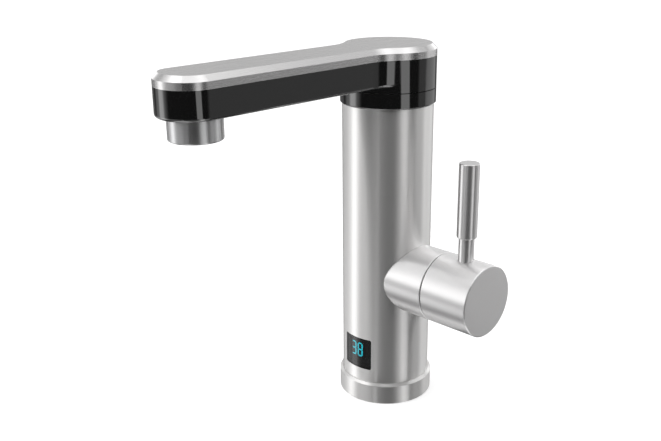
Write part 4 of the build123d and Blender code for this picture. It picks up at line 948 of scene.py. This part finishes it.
# Each softbox: turn from the camera to its right, lean of that turn for each degree of height, half
# its width, the soft edge beyond that, its lowest and highest elevation, their soft edge, and its
# light level. Angles are in degrees.
SOFTBOXES = {
    "left_window": (-95, 0, 5, 10, -26, 4, 10, 0.88),
    "left_wall": (-98, 0, 14, 18, -30, 12, 12, 0.34),
    "left_high": (-80, 0, 14, 50, 3, 58, 12, 1.18),
    "left_below": (-118, 0, 26, 20, -33, -24, 14, 0.55),
    "left_floor": (-62, 0, 14, 28, -54, -21, 8, 0.26),
    "left_low": (-70, 0, 30, 40, -90, -60, 8, 1.1),
    "left_horizon": (-136, 0, 18, 16, 0, 14, 5, 0.9),
    "left_rear": (-153, 0, 14, 12, -34, -10, 8, 0.12),
    "left_slot": (-29, 0, 2, 4, -45, -30, 5, 0.94),
    "front_floor": (10, 0, 36, 28, -58, -28, 9, 0.16),
    "right_strip": (32, -0.62, 9, 3, -60, 8, 8, 0.7),
    "right_glow": (42, 0, 8, 14, 8, 50, 12, 0.5),
    "right_low": (66, 0, 14, 22, -70, -40, 7, 0.8),
    "right_edge": (88, 0, 10, 8, -34, 20, 8, 0.13),
    "right_upper": (90, 0, 14, 14, 8, 28, 8, 1.0),
    "right_window": (122, 0, 16, 12, -34, 8, 8, 0.42),
    "right_horizon": (132, 0, 22, 18, 0, 14, 5, 1.0),
    "right_high": (112, 0, 32, 46, 20, 62, 12, 0.42),
    "right_rear": (170, 0, 8, 8, -34, -8, 8, 0.6),
    "rear_wall": (180, 0, 44, 14, 2, 30, 8, 0.52),
    "rear_high": (180, 0, 44, 24, 42, 60, 8, 0.6),
}

# Ceiling and ground: half their width and soft edge, in degrees from straight up and straight down
CEILING = (24, 24)
GROUND = (14, 26)

# The floor's inner rings in metres, its sides, and the glow that takes its lit colour up to white
FLOOR_RINGS = (0.4, 1.2)
FLOOR_SIDES = 64
FLOOR_GLOW = 0.62
FLOOR_MOTTLE = 60 * MM

# The lamp's diameter and its way towards the camera, to the camera's left and up, in metres
KEY_SIZE = 0.9
KEY_PLACE = (0.5, 0.8, 1.2)

SENSOR_WIDTH = 36
CLIP_START, CLIP_END = 0.01, 50


def background_ray(tree):
    """1 for a ray that shows the background by itself or through the lens."""
    path = add_node(tree, "ShaderNodeLightPath")
    seen = add_node(
        tree,
        "ShaderNodeMath",
        {0: path.outputs["Is Camera Ray"], 1: path.outputs["Is Transmission Ray"]},
        operation="MAXIMUM",
    )
    return seen.outputs["Value"]


def build_floor(studio):
    """Lay a flat disc of rings, whose points are (r cos a, r sin a, 0).

    Its lit colour keeps the tap's shadow, and a glow that lights nothing takes it up to white.
    """
    radii = np.array([*FLOOR_RINGS, studio.floor_radius])
    angles = np.linspace(0, 2 * math.pi, FLOOR_SIDES, endpoint=False)
    ring = np.stack([np.cos(angles), np.sin(angles), np.zeros(FLOOR_SIDES)], axis=1)
    points = (radii[:, None, None] * ring).reshape(-1, 3)
    faces = grid_faces(len(radii), FLOOR_SIDES).reshape(-1, 4).tolist()
    faces.append(list(range(FLOOR_SIDES)))
    mesh = bpy.data.meshes.new("pale_floor")
    mesh.from_pydata(points.tolist(), [], faces)
    floor = bpy.data.objects.new("pale_floor", mesh)
    bpy.context.scene.collection.objects.link(floor)
    material, tree = new_material("pale_matt_floor")
    tone = streaked_noise(tree, FLOOR_MOTTLE, EVEN)
    tint = colour_range(tree, tone, "#bcbcbc", "#bebebe")
    diffuse = add_node(tree, "ShaderNodeBsdfDiffuse", {"Color": tint})
    seen = background_ray(tree)
    glow = add_node(
        tree, "ShaderNodeEmission", {"Color": (1, 1, 1, 1), "Strength": FLOOR_GLOW}
    )
    none = add_node(tree, "ShaderNodeEmission", {"Strength": 0.0})
    shown = add_node(
        tree, "ShaderNodeMixShader", {0: seen, 1: none.outputs[0], 2: glow.outputs[0]}
    )
    both = add_node(tree, "ShaderNodeAddShader", {0: diffuse.outputs[0], 1: shown.outputs[0]})
    finish_with(tree, both.outputs[0])
    mesh.materials.append(material)
    floor.visible_glossy = False


def combine(tree, operation, first, second=0.0, third=0.0):
    """One step of arithmetic on values or links."""
    made = add_node(tree, "ShaderNodeMath", {0: first, 1: second, 2: third}, operation=operation)
    return made.outputs["Value"]


def inside(tree, value, half, soft):
    """1 where a value is within half of zero, and smoothly down to 0 over the soft edge beyond."""
    size = combine(tree, "ABSOLUTE", value)
    faded = add_node(
        tree,
        "ShaderNodeMapRange",
        {"Value": size, "From Min": half + soft, "From Max": half},
        interpolation_type="SMOOTHSTEP",
    )
    return faded.outputs["Result"]


def softbox(tree, around, height, turn, lean, half, soft, low, high, fade):
    """1 where a direction, given by its turn and height in degrees, meets a soft-edged box."""
    middle = combine(tree, "MULTIPLY_ADD", height, lean, turn)
    away = combine(tree, "WRAP", combine(tree, "SUBTRACT", around, middle), 180.0, -180.0)
    across = inside(tree, away, half, soft)
    above = combine(tree, "SUBTRACT", height, (low + high) / 2)
    upright = inside(tree, above, (high - low) / 2, fade)
    return combine(tree, "MULTIPLY", across, upright)


def build_world(studio):
    """Dim room with softboxes round the tap, a bright ceiling and a paler ground.

    The camera sees plain white in its place. It lights the tap, and shows in metal and gloss.
    """
    world = bpy.data.worlds.new("soft_studio")
    bpy.context.scene.world = world
    world.use_nodes = True
    tree = world.node_tree
    tree.nodes.clear()
    place = add_node(tree, "ShaderNodeTexCoord")
    turned = add_node(
        tree,
        "ShaderNodeMapping",
        {"Vector": place.outputs["Generated"], "Rotation": (0, 0, -studio.azimuth)},
    )
    split = add_node(tree, "ShaderNodeSeparateXYZ", {"Vector": turned.outputs["Vector"]})
    towards = combine(tree, "MULTIPLY", split.outputs["Y"], -1.0)
    around = combine(tree, "DEGREES", combine(tree, "ARCTAN2", split.outputs["X"], towards))
    height = combine(tree, "DEGREES", combine(tree, "ARCSINE", split.outputs["Z"]))
    total = studio.room_level
    for *shape, level in SOFTBOXES.values():
        box = softbox(tree, around, height, *shape)
        total = combine(tree, "MULTIPLY_ADD", box, level, total)
    ceiling = inside(tree, combine(tree, "SUBTRACT", height, 90.0), *CEILING)
    total = combine(tree, "MULTIPLY_ADD", ceiling, studio.ceiling_level, total)
    ground = inside(tree, combine(tree, "ADD", height, 90.0), *GROUND)
    total = combine(tree, "MULTIPLY_ADD", ground, studio.ground_level, total)
    seen = background_ray(tree)
    shown = add_node(tree, "ShaderNodeMix", {0: seen, 2: total, 3: 1.0}, data_type="FLOAT")
    light = add_node(
        tree, "ShaderNodeBackground", {"Color": (1, 1, 1, 1), "Strength": shown.outputs[0]}
    )
    add_node(tree, "ShaderNodeOutputWorld", {"Surface": light.outputs["Background"]})


def camera_axes(studio):
    """Unit vectors to the camera, and to the camera's own right and up before its roll."""
    sin_a, cos_a = math.sin(studio.azimuth), math.cos(studio.azimuth)
    sin_e, cos_e = math.sin(studio.elevation), math.cos(studio.elevation)
    back = Vector((sin_a * cos_e, -cos_a * cos_e, sin_e))
    right = Vector((cos_a, sin_a, 0))
    return back, right, back.cross(right)


def build_key(studio):
    """Hang one large soft lamp on the camera's left, above the spout, for form and shadow."""
    back, right, _ = camera_axes(studio)
    forward, left, height = KEY_PLACE
    lamp = bpy.data.lights.new("key_softbox", "AREA")
    lamp.shape = "DISK"
    lamp.size = KEY_SIZE
    lamp.energy = studio.key_power
    key = bpy.data.objects.new("key_softbox", lamp)
    bpy.context.scene.collection.objects.link(key)
    key.location = back * forward - right * left + Vector((0, 0, height))
    key.rotation_euler = key.location.to_track_quat("Z", "Y").to_euler()
    key.visible_glossy = False


def build_camera(scene, studio):
    """Place the camera at the photograph's angle and distance."""
    back, right, up = camera_axes(studio)
    roll = studio.roll
    rolled_right = math.cos(roll) * right + math.sin(roll) * up
    rolled_up = -math.sin(roll) * right + math.cos(roll) * up
    camera = bpy.data.objects.new("camera", bpy.data.cameras.new("camera"))
    scene.collection.objects.link(camera)
    turned = Matrix((rolled_right, rolled_up, back)).transposed().to_4x4()
    place = back * studio.distance + right * studio.target_side
    place.z += studio.target_height
    camera.matrix_world = Matrix.Translation(place) @ turned
    camera.data.lens = studio.lens
    camera.data.sensor_width = SENSOR_WIDTH
    camera.data.shift_x = studio.shift_right
    camera.data.shift_y = studio.shift_up
    camera.data.clip_start = CLIP_START
    camera.data.clip_end = CLIP_END
    scene.camera = camera


# Operators


class TAP_OT_finishes(bpy.types.Operator):
    """Give every part the finish of its material slot"""

    bl_idname = "tap.finishes"
    bl_label = "Finishes"

    def execute(self, context):
        for name, part in frame["nodes"].items():
            part.material_slots[0].material = finish(SLOT_OF_NODE[name])
        return {"FINISHED"}


class TAP_OT_column(bpy.types.Operator):
    """Build the column's tube with its window and side hole"""

    bl_idname = "tap.column"
    bl_label = "Column"

    def execute(self, context):
        column_tube(context.scene.tap_sizes)
        return {"FINISHED"}


class TAP_OT_lever(bpy.types.Operator):
    """Build the lever's turned grip"""

    bl_idname = "tap.lever"
    bl_label = "Lever"

    def execute(self, context):
        grip_bar(context.scene.tap_sizes)
        return {"FINISHED"}


class TAP_OT_stage(bpy.types.Operator):
    """Set the floor, the light and the camera"""

    bl_idname = "tap.stage"
    bl_label = "Studio"

    def execute(self, context):
        studio = context.scene.tap_studio
        build_floor(studio)
        build_world(studio)
        build_key(studio)
        build_camera(context.scene, studio)
        context.scene.view_settings.view_transform = "Standard"
        return {"FINISHED"}


# Panel and registration


class TAP_PT_sidebar(bpy.types.Panel):
    """The tap's pieces and settings"""

    bl_idname = "TAP_PT_sidebar"
    bl_label = "Water Heater Tap"
    bl_space_type = "VIEW_3D"
    bl_region_type = "UI"
    bl_category = "Tap"

    def draw(self, context):
        for operator in OPERATORS:
            self.layout.operator(operator.bl_idname)
        scene = context.scene
        for group in (scene.tap_sizes, scene.tap_colours, scene.tap_studio):
            column = self.layout.column()
            for name in group.__annotations__:
                column.prop(group, name)


OPERATORS = (TAP_OT_finishes, TAP_OT_column, TAP_OT_lever, TAP_OT_stage)
CLASSES = (TapSizes, TapColours, TapStudio, *OPERATORS, TAP_PT_sidebar)


def register():
    """Register the classes and their settings."""
    for made in CLASSES:
        bpy.utils.register_class(made)
    bpy.types.Scene.tap_sizes = bpy.props.PointerProperty(type=TapSizes)
    bpy.types.Scene.tap_colours = bpy.props.PointerProperty(type=TapColours)
    bpy.types.Scene.tap_studio = bpy.props.PointerProperty(type=TapStudio)


def unregister():
    """Remove the settings and the classes."""
    del bpy.types.Scene.tap_studio
    del bpy.types.Scene.tap_colours
    del bpy.types.Scene.tap_sizes
    for made in reversed(CLASSES):
        bpy.utils.unregister_class(made)


def main():
    """Build everything in order."""
    register()
    bpy.ops.tap.finishes()
    bpy.ops.tap.column()
    bpy.ops.tap.lever()
    bpy.ops.tap.stage()


if __name__ == "__main__":
    main()
